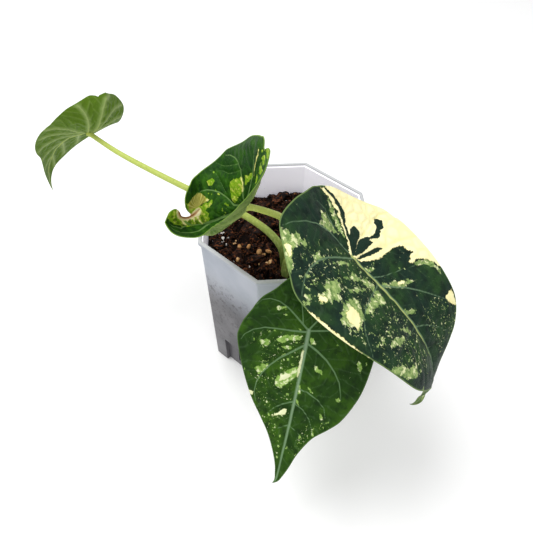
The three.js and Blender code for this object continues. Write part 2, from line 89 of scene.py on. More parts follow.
# Potting mix: its surface lies MIX_DIP under the tops of the flat chunks and falls towards the back, where
# it has a low mound
MIX_TOP = 91
MIX_DIP = 3
MIX_FALL = 0.12
MIX_FALL_FROM = 20
MOUND_LIFT = 6
MOUND_AT = (6, 37)
MOUND_REACH = (15, 8)
MIX_FOOT = 2.6
MIX_SIDES = 220
MIX_RINGS = 95
MIX_SPREAD = 92
CHUNK_COUNT = 70
CHUNK_SPREAD = 88
BARK_COUNT = 420
FIBRE_COUNT = 260
FIBRE_SIDES = 5
FIBRE_STEPS = 8
FULL_TURN = 6.28
CRUMB_SIZE = (0.7, 0.45, 0.6)
CRUMB_SPOTS = [(-10.9, 44.2, 90.7), (-10.9, 44.2, 87.5), (-8.5, 44.2, 92.4), (-4.7, 44.2, 89)]
PRILL_SPOTS = [(-25.2, -2.2), (-20.1, -3), (-27.5, -8.6), (-26.5, -12.2), (-14.3, -9), (-8.8, -8.4),
               (-10.7, -20.4), (-8, -17.4)]
WHITE_SPOTS = [(-32.3, 11.7), (-34.3, 9), (-35.5, 8.2), (-34.8, 5.1), (-37.4, 5.7), (-38.2, 6.3),
               (-37.2, 10.5), (-41.8, 6.8), (-40.8, 9.1), (-39.7, 1.4), (-32.9, 0.3), (-31.5, 16.6),
               (-31.1, 17.7), (-28.2, 21.5), (-27.9, 22.4), (-32.7, 14.5), (-31.9, 5.7), (-37, 7.2)]

# Blades: their thickness, the relief on both faces, and the grid they are drawn on
BLADE = 0.8
KEEL = 0.7
KEEL_REACH = 0.8
PANEL_LIFT = 0.5
PANEL_REACH = 2.6
PUCKER_LIFT = 0.25
PUFF_LIFT = 0.5
QUILT_SCALE = 0.17
VEIN_DROP = 0.3
GROOVE_REACH = 0.9
EDGE_REACH = 3
EDGE_SWELL = 0.18
ROWS = 190
COLUMNS = 56
EDGE_STEPS = 10
WALK_STEPS = 60
ARCH_REACH = 12
NEAR = 0.05
UV_SPAN = 150

# Veins: how much one narrows to its end, the spacing of its side veins, and the share of its width on a side
MIDRIB = dict(narrowing=0.6, spacing=6.5, half=0.5)
BRANCH = dict(narrowing=0.72, spacing=5.2, half=0.42)
SIDE_VEIN_SLANT = 0.75

# Painted stretches: how far their depth is measured, and the usual size of a fleck
MARK_LIMIT = 9.0
FLECK_SIZE = 0.5

# The fan of fine ribs by the torn edge of the cupped leaf: the shift that takes its middle to zero, and
# the number of ribs that a full turn would have
FAN_SHIFT = (-29.5, 8.5, 0)
FAN_RIBS = 22

# Stalks: how far below the blade one bends and ends, its steps, and the length its colour changes over
STALK_BEND = 3.05
STALK_SINK = 0.3
STALK_STEP = 0.8
STALK_SIDES = 20
STALK_SPAN = 60
PATH_STEPS = 40

# Bends in degrees that most leaves do without; pinch, curl and flare are an amount, a place and a reach
PLAIN = dict(cup_tip=(0, 0), pinch=(0, 0, 1), curl=(0, 0, 1), flare=(0, 0, 1))

# Leaves: where each blade meets its stalk, how it lies and bends, and its flat outline on both sides
LEAVES = {
    "back_left": dict(
        PLAIN, at=(-107.3, 44.7, 137.7), heading=159, climb=-17, roll=26, front=51, tip=52.5, back=29,
        droop=(100, 1.4), lobe_droop=-95, swerve=(25, 1.2), lobe_swerve=0, twist=-5, hook=(0, 0, 50),
        half=(27.5, 26.5), fold=(13, 9), fold_tip=(-27, -22), cup=(2, -7),
        left=[(-29.5, 0), (-28.6, 3.5), (-27.8, 4.3), (-28.8, 6), (-29, 10), (-24, 17), (-17, 23), (-5, 27.5),
              (7, 26.5), (18, 24), (25, 20), (30, 14), (36, 10), (43, 6.5), (52.5, 0)],
        right=[(-29.5, 0), (-29, 4), (-28, 12), (-23.5, 18), (-18, 21.5), (-8, 23.5), (3, 27.5), (12, 29),
               (20, 25.5), (27, 20), (33, 14.5), (39, 7), (45, 3), (52.5, 0)],
    ),
    "cupped": dict(
        PLAIN, at=(-21, -31.7, 148.2), heading=139, climb=-65, roll=-56, front=66, tip=48.8, back=33,
        droop=(-203, 1), lobe_droop=-5, swerve=(-16, 1.2), lobe_swerve=-16, twist=-10, hook=(0, 17, 40),
        half=(22, 28), fold=(9, 24), fold_tip=(16, 30), cup=(88, -32), cup_tip=(-45, 0), pinch=(16, 6, 20),
        curl=(43, 11, 21), flare=(-12, -17, 18),
        left=[(-36, 0), (-37.6, 1.4), (-39.4, 4), (-39.8, 8), (-35, 12), (-27, 15), (-15, 16.5), (-4, 18),
              (6, 19.2), (14, 20), (22, 20), (30, 18.6), (37, 14.5), (43, 12), (47.3, 10.4), (49, 7.5),
              (49, 4), (48.8, 0)],
        right=[(-36, 0), (-36.6, 0.8), (-39, 1.4), (-40, 3), (-38.9, 5), (-35.5, 10.1), (-28.8, 17.1),
               (-20, 22), (-7, 28), (0.5, 29.3), (15, 26.6), (25, 24), (38.5, 20.5), (42, 17), (42.3, 13.5),
               (40, 10), (37, 7.8), (34, 6.2), (33.2, 5.3), (34.6, 4.6), (37.5, 4.3), (40.5, 4.9), (43, 6.6),
               (47.2, 7.4), (50.4, 5.4), (49.8, 2.4), (48.8, 0)],
    ),
    "front": dict(
        PLAIN, at=(6.2, -73.7, 106.3), heading=-108, climb=-46, roll=-4, front=75, tip=76, back=25,
        droop=(-4, 1.5), lobe_droop=-7, swerve=(-4, 1.6), lobe_swerve=-14, twist=22, hook=(-40, 0, 72),
        half=(31.5, 31.5), fold=(7, 9), fold_tip=(-1, -15), cup=(-16, -1),
        left=[(-24, 0), (-27, 5), (-26, 12), (-20, 20), (-10, 28), (1, 32), (10, 31.7), (22, 29.7),
              (30.5, 26.6), (38, 22.6), (43, 18), (49, 12), (58, 7.2), (66, 4.6), (72, 2.2), (76, 0)],
        right=[(-24, 0), (-27, 5), (-26.5, 11), (-21, 18), (-16, 24), (-6, 28.5), (4.5, 32), (11, 32),
               (25, 27.5), (38, 21.5), (46.5, 15.4), (53.5, 10), (60.5, 5.8), (67, 2.6), (72, 1.2), (76, 0)],
    ),
    "right": dict(
        PLAIN, at=(22.5, -65.7, 147.2), heading=-48, climb=-26, roll=-17, front=93, tip=98, back=32,
        droop=(78, 1.8), lobe_droop=-23, swerve=(25, 0.5), lobe_swerve=16, twist=15, hook=(-180, -60, 87),
        half=(38.5, 38), fold=(5, 15), fold_tip=(18, 8), cup=(5, -34),
        left=[(-33.8, 0), (-33.7, 5), (-32, 13), (-25, 25), (-16, 35.5), (-8.5, 38.8), (5.5, 38.1), (22, 35),
              (39, 31.3), (50, 28), (58.5, 21.2), (63, 15), (69, 7.1), (75, 4), (84, 2.1), (92, 1.4),
              (98, 0)],
        right=[(-33.8, 0), (-33.6, 4), (-31.9, 10), (-29.2, 19), (-24, 28.6), (-15.6, 32.5), (-8, 36),
               (0, 39.3), (15.6, 37), (35, 31), (51, 25.5), (60, 19), (68, 11), (76, 5.5), (84, 2.6),
               (92, 1.5), (98, 0)],
    ),
}

# Stalks: the places each one passes, its width at the foot and the top, and where along the blade it ends
STALKS = {
    "back_left": dict(
        points=[(-0.3, -17.2, 82), (-0.9, -16.9, 94), (-3, -16.1, 103.4), (-8.6, -11.4, 108.9),
                (-17.3, -5.8, 113.3), (-24.4, -2, 115.7), (-52.4, 11.1, 123), (-88.3, 29.6, 133.4)],
        widths=(4.4, 2.6), join=0),
    "cupped": dict(
        points=[(4.7, -15.3, 82), (5, -15.5, 94), (4.4, -19.5, 113), (1.1, -22.3, 124.3),
                (-3.2, -24.1, 131.8), (-10, -27.6, 139.2)],
        widths=(4.4, 3), join=2.5),
    "front": dict(
        points=[(-1.2, -26.5, 82), (-1.2, -27, 94), (-0.5, -33, 110), (2, -46, 118.5), (5, -58, 114)],
        widths=(4.4, 3), join=0),
    "right": dict(
        points=[(5.4, -23.8, 82), (5.8, -24.2, 94), (7.5, -31, 112), (12, -46, 130), (18, -58, 141)],
        widths=(4.4, 3.2), join=0),
}

# Main veins as flat lines, each with its width in millimetres where it starts
VEINS = {}
VEINS["right"] = [
    (2.4, [(0, 0), (20, 0), (45, 0), (70, 0), (97, 0)]),
    (1.0, [(-0.5, 0.3), (-7, -0.7), (-14.1, -3.9), (-18.9, -10.7), (-20.9, -16.4), (-22, -23.5),
     (-21.9, -29)]),
    (0.8, [(-15.1, 1.4), (-23.5, 0.7), (-29, -5)]),
    (1.1, [(0.4, -1.5), (-3.2, -9.7), (-5.4, -15.4), (-6.3, -20.8), (-5.8, -26.8), (-4.5, -31.2),
     (-2.1, -35.1), (-0.6, -37.3)]),
    (1.0, [(15.9, 0), (15.4, -10.2), (15.6, -18.1), (17.2, -23.5), (20.2, -27.5), (24.6, -30.4),
     (28.2, -32.7)]),
    (0.8, [(41.4, 0.1), (37.6, -11.5), (37.3, -18.6), (39.4, -23.6)]),
    (0.9, [(-0.8, 1.2), (-4, 12.6), (-7.7, 22.2), (-9.9, 32.6), (-7.8, 41.8)]),
    (0.9, [(2.6, 0.4), (4.8, 10), (7.7, 16.8), (9.9, 23.6), (13.9, 30.7), (17.8, 36.3)]),
    (0.7, [(5.7, 0.6), (12.5, 1), (15.5, 4.9), (20.1, 13.6), (24, 20.5), (29.1, 27.1)]),
    (1.0, [(16.7, 0), (21.9, 4.9), (27.3, 9.9), (33.8, 14.7), (41, 19.3), (46.2, 22.7), (52.2, 25.9)]),
    (0.8, [(41.8, 0.5), (46.1, 6.1), (52.9, 11.9), (60.7, 17.1)]),
    (0.7, [(54.8, 0.3), (57, 5.8), (62.3, 10.7)]),
]
VEINS["front"] = [
    (2.2, [(0, 0), (20, 0), (45, 0), (75, 0)]),
    (1.1, [(-0.5, -1), (-4.9, -5.8), (-10.1, -10.8), (-14.1, -15.5), (-15.7, -19.9), (-15, -23.6),
     (-10.8, -26.4)]),
    (1.1, [(0.9, -0.6), (1.5, -8.5), (1.6, -14.9), (2.1, -20.5), (3.9, -25.3), (7.1, -29.2), (10.3, -30.6)]),
    (1.2, [(6.8, -0.2), (11.1, -5.4), (15.7, -11), (19.9, -14.8), (24.9, -17.9), (29.7, -19.8), (35.5, -20.2),
     (40.1, -18.8)]),
    (0.9, [(34.7, -0.1), (37.2, -4.9), (40.5, -9), (45, -12.3)]),
    (0.7, [(46.4, -0.2), (49.2, -4.4), (52, -7.3)]),
    (1.0, [(0.1, 0.8), (-1.7, 9.3), (-3, 17), (-2, 25), (3, 31)]),
    (0.9, [(-1.1, 0.5), (-4.8, 3.1), (-12, 8), (-18, 13), (-22, 15)]),
    (1.2, [(6.4, 0.8), (8.6, 5.6), (11.9, 10.8), (16.5, 15.5), (20.8, 18.6), (25.4, 20.2), (28.3, 20.9)]),
    (0.9, [(28.4, -0.1), (28.8, 5.3), (30.6, 10.3), (33.9, 14.3), (38.4, 16)]),
    (0.7, [(36.1, 0.9), (37.4, 4.9), (40.7, 8.7), (45.1, 11.1), (48.1, 11.5)]),
    (0.6, [(47.2, 0.4), (48, 4.4), (51.3, 8)]), (0.7, [(-0.2, -0.9), (-2.5, -3.2), (-11.1, -4.6), (-20, -7)]),
]
VEINS["cupped"] = [
    (1.5, [(0, 0), (8, -0.6), (15, -1.5), (23.5, -1), (27, -0.5), (32, -0.3), (36, -2), (39.5, -3.5),
     (43, -5.2)]),
    (1.2, [(0.5, -0.5), (6.7, -3.9), (7.4, -6.7), (9.2, -9.9), (11.6, -12.6), (15.7, -14.8), (19.9, -15.9),
     (24.3, -16), (28.8, -14.9)]),
    (1.2, [(-0.5, -0.5), (-4.2, -3.8), (-7.4, -5.1), (-9.9, -8.4), (-11.7, -11.9), (-11.8, -15.7),
     (-9.6, -20.3), (-5.8, -24.2), (-0.9, -27.2)]),
    (0.4, [(7.5, -11), (8.3, -18), (8.8, -20.7), (11.3, -23.5), (13.8, -24.9)]),
    (0.4, [(-11.6, -15.4), (-3.8, -19.5), (2.2, -22.9), (7.5, -26.9)]),
    (0.4, [(-11, -12), (-5.8, -14.4), (-1.1, -16.9), (3.4, -20.5), (7.2, -22.6)]),
    (0.9, [(-1, -0.5), (-10, -1.5), (-19.7, -3.5), (-23.7, -5.6), (-26.9, -7.5), (-30.2, -9.2)]),
    (0.9, [(-1, 0.5), (-10, 4), (-18, 8), (-26, 11)]), (0.9, [(0, 0.5), (-2, 6), (-1, 12), (4, 17)]),
    (0.9, [(10, 0), (14, 6), (20, 11), (28, 14)]),
    (1.1, [(21, -1.3), (25, 1), (29.5, 4), (34, 5), (39, 5.5), (43.5, 5), (46, 2)]),
    (0.8, [(35, 0), (39, 2.2), (44, 1.5), (47.5, -2)]),
]
VEINS["back_left"] = [
    (1.7, [(0, 0), (20, 0), (40, 0), (52, 0)]),
    (1.0, [(0, 0.2), (-7, 0.8), (-14.8, 2.6), (-21.2, 2.4), (-26, 0.5), (-28, -4)]),
    (0.9, [(0, 0.3), (-5.1, 4.7), (-12, 9), (-18, 13), (-22, 16)]),
    (0.9, [(-4, 0.2), (-10.7, -0.6), (-16.5, -4), (-20, -11), (-20.5, -18)]),
    (0.9, [(-0.3, -0.3), (-6, -6), (-10.5, -13), (-11, -20)]),
    (1.0, [(0, 0.3), (0.6, 8), (-0.5, 15.3), (1, 22), (4.5, 26)]),
    (1.0, [(1, 0.2), (5.2, 6), (6.6, 12.4), (9.4, 18.4), (14, 23)]),
    (0.9, [(8, 0.1), (11.5, 5), (15.1, 10.5), (19.6, 15), (24, 18.6)]),
    (0.8, [(20, 0), (24, 5.4), (28.8, 9.5), (31, 11.7)]), (0.7, [(31, 0), (34, 3.8), (38, 6.6)]),
    (1.0, [(0.6, -0.3), (3, -8), (4, -16), (7, -23), (11, -27)]),
    (0.9, [(9, -0.2), (13, -7), (18.6, -14), (24, -19)]), (0.8, [(20, 0), (25.6, -6.7), (31, -12)]),
    (0.7, [(31, 0), (35, -4), (39, -6)]),
]

# Stretches of another colour on the upper faces: closed flat outlines by kind, and flecks as points
MARKS = {name: {} for name in LEAVES}
MARKS["right"]["cream"] = [
    [(-12.6, 7), (-19.3, 11), (-26.3, 9.7), (-30.6, 5.8), (-36, 5.8), (-36, 20), (-27, 34), (-14, 44),
     (5, 44), (22, 41), (33.5, 37), (35.4, 32), (31.4, 30.8), (27.2, 28.6), (24, 25), (23.4, 21.4),
     (21.7, 21.2), (20.7, 24.3), (20.6, 26.7), (18.3, 25.1), (15.4, 25.5), (12.4, 22.7), (10.8, 16.6),
     (9.7, 11.1), (8.2, 7.7), (4.4, 2.5), (0.4, 0.4), (-5, 4)],
    [(-16.6, -31.7), (-15.3, -29), (-13, -30), (-11.8, -32.5)],
    [(-1, -41), (4.1, -38.4), (10.1, -37.2), (15.6, -36.2), (22.3, -35), (28.5, -33.3), (28.5, -37),
     (15, -42)],
    [(1.6, -32.3), (2.8, -30), (4.3, -29.4), (4.1, -32), (2.3, -33.8)],
    [(10.5, -24), (11.9, -23.9), (14.5, -23.3), (16.3, -25.3), (17.5, -29.8), (15.1, -29.4), (12, -30),
     (10.9, -28.8)],
    [(45.3, 23.6), (45.4, 28.7), (48.8, 27.7), (52.8, 26.7), (51, 24.5), (47.2, 22.9)],
    [(22.7, 9.5), (25, 11.8), (25.4, 9.8), (23.1, 7.5)],
    [(-0.7, 0.5), (-6.7, 4.6), (-12.9, 6.9), (-20.7, 9), (-27.8, 7.4), (-33, 4), (-33, 1.5), (-27.8, 5),
     (-20.7, 7.3), (-12.9, 5.4), (-6.7, 3.2), (-0.7, -0.5)],
]
MARKS["right"]["dark"] = [
    [(-6.4, 4.9), (-12.6, 7.5), (-19.3, 11.5), (-25.6, 10), (-31.6, 6.4), (-31.6, 5.2), (-25.6, 8.8),
     (-19.3, 10.2), (-12.6, 6.6), (-6.4, 4.2)],
    [(-0.1, 1), (-7.5, 5.7), (-10.6, 9.2), (-11, 12.4), (-8.8, 13.3), (-5.7, 12), (-3.4, 7.2), (0, 2.8)],
    [(0.6, 2), (-3.7, 9.9), (-3.1, 14), (-1.5, 15.8), (-0.5, 13.5), (2, 15), (1.7, 6.2)],
    [(-1.6, 14.8), (2.7, 19.6), (-1, 26.5), (-5.3, 29.6), (-8.9, 28.1), (-6.9, 25.4), (-3.9, 24.5),
     (-1.3, 19.9)],
    [(2.2, 1.8), (4.1, 5.6), (6.1, 10.9), (7.7, 16.8), (5.8, 15.4), (4.3, 10.7), (2.3, 2.9)],
]
MARKS["right"]["light"] = [
    [(-23.3, -4.2), (-20.9, 0.2), (-18.1, 0.4), (-14.5, 0.9), (-11.4, 1.6), (-14.1, -3.9), (-18.3, -9),
     (-19.7, -5.9)],
    [(-29.7, 4.8), (-22.7, 5.5), (-14.6, 5.4), (-8.5, 3.3), (-10.3, 2.7), (-17.5, 3.2), (-23.8, 3)],
    [(-21.4, -30.3), (-19.9, -27.2), (-18.2, -27.6), (-17.4, -23.4), (-15.8, -23.7), (-13.5, -21.3),
     (-12.1, -23.3), (-14.1, -25.1), (-14, -28.4), (-11.8, -31), (-8.6, -33.5), (-7.4, -35.4), (-10.9, -36.1),
     (-16.5, -33.4), (-20.4, -31.8)],
    [(-9, -21.7), (-8.9, -18), (-6.8, -19.1), (-5.6, -17.5), (-6, -23)],
    [(-2.8, -15.4), (-1.9, -11.6), (1, -6.6), (1.2, -8.7), (-1.7, -14.4)],
    [(0.4, -23.7), (1.2, -20.8), (2.7, -20), (4.9, -21.5), (5.4, -24.8), (7.3, -25.7), (5.6, -28.3),
     (4.9, -30.3), (4.2, -32.3), (2.3, -33.8), (1.3, -32.1), (1.7, -28.2), (0.5, -26.9)],
    [(3.5, -16.3), (4.5, -9.1), (8.9, -8.1), (10.2, -4.7), (8.3, -10.5)],
    [(5.5, -20.1), (9.6, -13.6), (12, -11.8), (8.8, -18.1)],
    [(8.1, -24.6), (9.8, -20.1), (12.2, -18.9), (14, -21.1), (16.8, -22.1), (17.8, -25.3), (17.9, -29.3),
     (15.7, -30.3), (13, -32.7), (10.8, -32.4), (9.4, -29.1)],
    [(16.1, -4.5), (18.6, -5.7), (21.1, -6.8), (21.8, -9.1), (19.1, -13.6), (17.6, -17.5), (17.3, -21.5),
     (16, -20.5), (15.7, -15), (16, -9.4)],
    [(20.2, -30.6), (21.4, -30.1), (23.3, -31.9), (24.5, -32)],
    [(25.3, -23.3), (26.6, -22.7), (27.7, -23.9), (27.8, -27)],
    [(30.4, -21.8), (32, -17.6), (34.2, -13.5), (36.5, -14.4), (35.2, -18.4), (33.5, -20.9), (32, -23.3)],
    [(32.6, -11.7), (36.3, -6.5), (39.6, -5.8), (41.6, -2.5), (37.9, -8.5)],
    [(36.2, -29.9), (38.8, -25), (43.7, -22.5), (45.8, -17.4), (50.2, -20.3), (47.5, -24.3), (42.6, -27.5),
     (38.8, -29.5)],
    [(31.9, 0.5), (36.4, 5.8), (37.6, 4.4), (34.9, 0.8), (32.8, -0.5)],
    [(16.5, 0.5), (19.4, 4.6), (22.7, 9.5), (24.8, 12.1), (29.2, 17), (27.7, 12.1), (25.9, 9), (21.6, 4),
     (18.3, 0.5)],
    [(7, 1.3), (10, 4.9), (10.7, 2.5), (8.3, 0.7)], [(7.2, -7.8), (14.1, -3.7), (16.3, -5.4), (11.9, -9.6)],
    [(-0.3, -37.6), (0.1, -34.2), (1.1, -37.1), (0.9, -38.4)],
    [(83, -4), (82, 0), (83, 4), (99, 3), (99, -3)],
    [(23.2, 21.7), (24.6, 25.5), (28, 28.9), (31.4, 30.8), (33.7, 30.3), (36.1, 30.9), (36.8, 28.7),
     (32, 28.5), (27.6, 25.1)],
]
MARKS["right"]["fleck"] = [
    (-11.4, -26.1), (-5.4, -33.1), (-4.1, -30.4), (-0.6, -30.1), (-15.3, -19.7), (9.2, 6.2), (20.2, 14.8),
    (21.8, 16.8), (34, 11.6), (18.7, -18), (21.6, -22.4), (29.2, -10), (49.9, -17.4), (57.3, -20.1),
    (42.2, -11.9), (44.2, -12.4),
]
MARKS["right"]["speckled"] = [
    [(8, -20), (14, -34), (36, -30), (56, -18), (52, -4), (30, -2), (20, -6)],
    [(38, 9), (44, 24), (55, 27), (64, 17), (62, 6), (50, 6)],
    [(-8, -4), (-14, -30), (2, -36), (14, -14), (12, -2)],
]
MARKS["front"]["cream"] = [
    [(35.5, -24), (35.3, -20.6), (37.6, -20.5), (37.2, -23)],
    [(44.2, -9.7), (42.1, -6.6), (39.4, -4.5), (39.1, -2.5), (41.8, -2.6), (43.3, -6.4), (44.9, -8.8)],
    [(23.3, -9), (21.3, -3.5), (24.3, -4.9), (26.7, -9)],
    [(8.2, -1.2), (17.5, -1.6), (22.8, -1.5), (23.2, -0.4), (17.2, -0.2), (10.6, -0.2)],
]
MARKS["front"]["light"] = [
    [(-10.9, -17.4), (-11.4, -15.3), (-11.2, -12.1), (-9.6, -12.3), (-9.1, -16.3)],
    [(-6.9, -13), (-6.8, -11.1), (-5.7, -11.9)],
    [(5.8, -14.1), (3.5, -8.8), (3, -2.5), (4.7, -2.8), (6.4, -8.3), (8.3, -11.1), (7.2, -14.2)],
    [(9.7, -11.8), (8.5, -7.2), (9.6, -6.1), (10.7, -9.4)],
    [(6.5, -22.6), (8.2, -21), (7.1, -17.1), (9, -16.4), (11.2, -18.2), (10, -21.3)],
    [(2.6, 1.1), (3.5, 3), (5.6, 4.7), (6.3, 2.6), (4.5, 1.4)],
    [(20.3, -6.3), (17.9, -1.6), (20.5, -0.1), (24.5, -2.9), (27, -5), (30.1, -7.7), (28.7, -11.3),
     (24.8, -10.7), (22.4, -7.8)],
    [(23, -21.5), (20.2, -18.7), (19.4, -15.5), (22.7, -16.3), (26, -19.4)],
    [(25.9, -0.3), (26, 1.4), (30.4, 2), (30.8, 0.7)], [(33.5, 0.6), (33.7, 2), (36.2, 2.6), (35.6, 1.3)],
    [(16.6, 6), (15.4, 7), (17.8, 10.1), (18.8, 10), (18.4, 7.6)],
    [(26.3, 5.1), (26.6, 6.1), (28.2, 7.5), (27.9, 6.1)],
    [(8.9, 24.6), (9.8, 26.3), (12.1, 27.4), (14.6, 27), (12.5, 25.3)],
    [(28.3, 18.7), (27.3, 20), (29.1, 21.4), (29.3, 19.5)],
    [(36.6, 12.6), (36.5, 13.9), (39.2, 15.5), (39, 14.2)],
    [(43.9, 10.8), (44.2, 11.9), (47.8, 12.5), (46.9, 11.2)], [(39.8, 16.6), (39.2, 17.8), (41.1, 17.6)],
]
MARKS["front"]["fleck"] = [
    (25, -26.5), (42.6, -17.7), (48.6, -6.7), (52.9, -3.2), (55.6, -3.3), (58.1, -2.7), (61.6, -2.9),
    (63.3, -2.1), (44.6, -11), (15.5, -7.2), (17.5, -4.2), (20.1, -9.6), (15.9, -9), (8.3, -24.5),
    (16.6, -21.2), (3.6, 14.1), (50, 6.3), (58.9, 5.1), (57, 1.7), (53.8, 10), (59, 6.6), (38.2, -12.9),
    (34.7, -17.6), (3.5, -18), (0.1, -4.4), (2.4, -15.4), (32.2, -4), (9.9, 29.1),
]
MARKS["front"]["speckled"] = [
    [(2, -2), (2, -26), (20, -26), (40, -20), (60, -6), (40, 0)],
    [(36, 14), (46, 6), (60, 2), (62, 8), (44, 18)],
]
MARKS["cupped"]["cream"] = [
    [(32.6, -7.2), (30.4, -8.8), (28.2, -9), (26.6, -7.6), (26.8, -6.2), (28.4, -4.8), (31, -4.2),
     (33.4, -4.6)],
    [(46.6, -7.4), (45.5, -6), (44, -4.3), (41.5, -2.9), (39, -2.3), (36.5, -2.3), (33.6, -2.9), (31.4, -3.6),
     (31.2, -4.8), (34, -4.6), (37, -3.8), (40.6, -4.2), (43, -5.6), (44.6, -7.6)],
    [(20.2, -11.4), (21.8, -12.2), (23, -11.2), (21.4, -10.4)],
    [(39.8, -3), (37.8, -1.4), (34.4, 0.3), (34, -0.3), (37, -2.2), (38.6, -3.4)],
    [(32, -4), (31.5, -2.2), (30.6, -1.8), (30.9, -4.2)],
    [(30.4, -4.6), (28.4, -2), (26.4, -0.2), (26.2, -0.9), (27.8, -2.8), (29.2, -5)],
    [(35.8, -3.6), (35.2, -1.9), (34.6, -2), (34.8, -3.6)],
    [(-9.9, -9.3), (-8.7, -6.3), (-5.4, -4.2), (-4.4, -4.6), (-7.4, -6.2), (-9, -9.4)],
    [(-34, -3.3), (-30.1, -3.2), (-23.3, -2.6), (-19.8, -2), (-19.8, -1.6), (-27, -2.2), (-34, -2.6)],
]
MARKS["cupped"]["dark"] = [
    [(45, -2.7), (44.4, -1.9), (43.2, -2), (43, -2.7), (43.9, -3.2)],
    [(42, -1.5), (41.3, -0.9), (40.3, -1), (40.5, -1.7), (41.2, -1.9)],
    [(38.5, -0.3), (37.6, 0.4), (36.1, 0.4), (36.4, -0.4), (37.5, -0.7)],
    [(34.1, -3.2), (33.9, -1.4), (33, -1), (32.6, -2.2), (33.4, -3.4)],
    [(30.2, -2.4), (29.8, -0.8), (28.9, -0.4), (29, -1.6), (29.6, -2.8)],
    [(27.2, -3.8), (26.6, -2.2), (25.6, -1.6), (25.5, -2.9), (26.4, -4.2)],
    [(47.6, -4), (47, -3.2), (46.2, -3.2), (46.2, -3.9)],
]
MARKS["cupped"]["light"] = [
    [(-10, -9.4), (-7, -10.5), (-3.8, -12.3), (-0.3, -12.8), (1.8, -12.2), (2.9, -10.7), (4.1, -8.8),
     (5.5, -6.6), (5.7, -4.2), (3.5, -4.2), (-0.7, -4.4), (-3.7, -4.2), (-6.2, -5), (-9.3, -7.1)],
    [(-14.1, -7.2), (-12.2, -6.7), (-9.1, -4.7), (-10.8, -4.3), (-14.5, -3.5), (-17.6, -2.7), (-20, -3.6),
     (-18.6, -4.4), (-16.1, -5)],
    [(18.8, -19.6), (15.4, -20.1), (12.4, -19.8), (11.9, -18.4), (13.7, -17.4), (16.3, -17), (17.9, -17.6)],
    [(37.5, -11), (36.5, -13), (33.5, -14), (29, -15.4), (25.5, -15), (22, -12.6), (19.8, -11.2),
     (22.5, -10.8), (25, -10.4), (29.5, -9.4), (33.5, -8.3), (35.5, -8)],
    [(20, -10.4), (17.5, -11), (18.5, -9), (22, -8), (24, -7), (22.5, -5), (23.5, -3.2), (23, -1.2),
     (26, -1.2), (29, -0.8), (34, -0.6), (36, -2.4), (40, -4), (38, -4.4), (33, -5), (28.5, -6.4), (27, -8.6),
     (25.5, -10)],
    [(50.8, -6.5), (50.8, -3.6), (47.6, -1.6), (45, -0.8), (42.4, -0.2), (40, 1), (35.5, 1.2), (31, 0.2),
     (28, -0.2), (25.6, -0.6), (23.4, -1.2), (22.6, -2.8), (23.6, -4.6), (24.4, -6), (25.4, -8), (27, -9.8),
     (30, -10), (33, -9.6), (35.5, -9), (34, -7), (33, -5.8), (36, -5.5), (40, -5.4), (43, -7.4), (47, -8)],
    [(41, -11), (38.5, -9.6), (36.5, -8), (33.5, -6), (32, -7), (30, -9.4), (34, -9.8), (37, -11)],
    [(36, -1.5), (40, -3.2), (41, -2.4), (37.5, -0.4)],
    [(-38.6, 2.4), (-39.6, 5.4), (-39, 8), (-36.8, 7.6), (-36.4, 4), (-37, 1.6)],
    [(-34.6, 1), (-35, 4.8), (-32.6, 6), (-31, 3.8), (-32, 1)],
    [(-29.6, 1.6), (-30, 6), (-27.4, 6.6), (-26, 3), (-27.6, 1)],
    [(-23.4, 0.8), (-24, 3.6), (-20.6, 4.4), (-19, 1.4)],
]
MARKS["cupped"]["fleck"] = [
    (-35.6, 1.1), (-35.4, 3.7), (-34.6, -1.1), (-38.3, 5.3), (-29.8, 1.1), (10.7, -22.7), (19.5, -14.1),
    (17, -13.2), (12.6, -12), (13.6, -14.2), (14.3, -2), (14.4, -4.4), (11.2, -6.7), (10.1, -5.5),
]
MARKS["cupped"]["speckled"] = [
    [(8, -3), (14, -8), (22, -10), (26, -3), (16, -1)], [(-38, -4), (-40, 9), (-24, 8), (-20, -2)],
    [(52, -8), (52, 1), (34, 1), (34, -8)],
]
MARKS["cupped"]["scar"] = [
    [(44.2, -8), (43.8, -5.8), (40.9, -3.7), (37.5, -3.1), (34.5, -3.4), (31.6, -4.5), (29.8, -6), (27.6, -8),
     (27.9, -8.6), (30, -7.6), (33, -6), (34.5, -6.4), (37.5, -6.4), (40.5, -6.4), (42, -8)],
]
MARKS["cupped"]["tan"] = [
    [(37.5, -11), (36.5, -13), (33.5, -14), (29, -15.4), (25.5, -15), (22, -12.6), (23, -11), (25, -10.4),
     (29.5, -9), (33.5, -8.3), (35.5, -8)],
]


def srgb(red, green, blue):
    """Linear colour from the 0 to 255 values a screen shows."""
    values = [value / 255 for value in (red, green, blue)]
    return tuple(v / 12.92 if v <= 0.04045 else ((v + 0.055) / 1.055) ** 2.4 for v in values) + (1,)


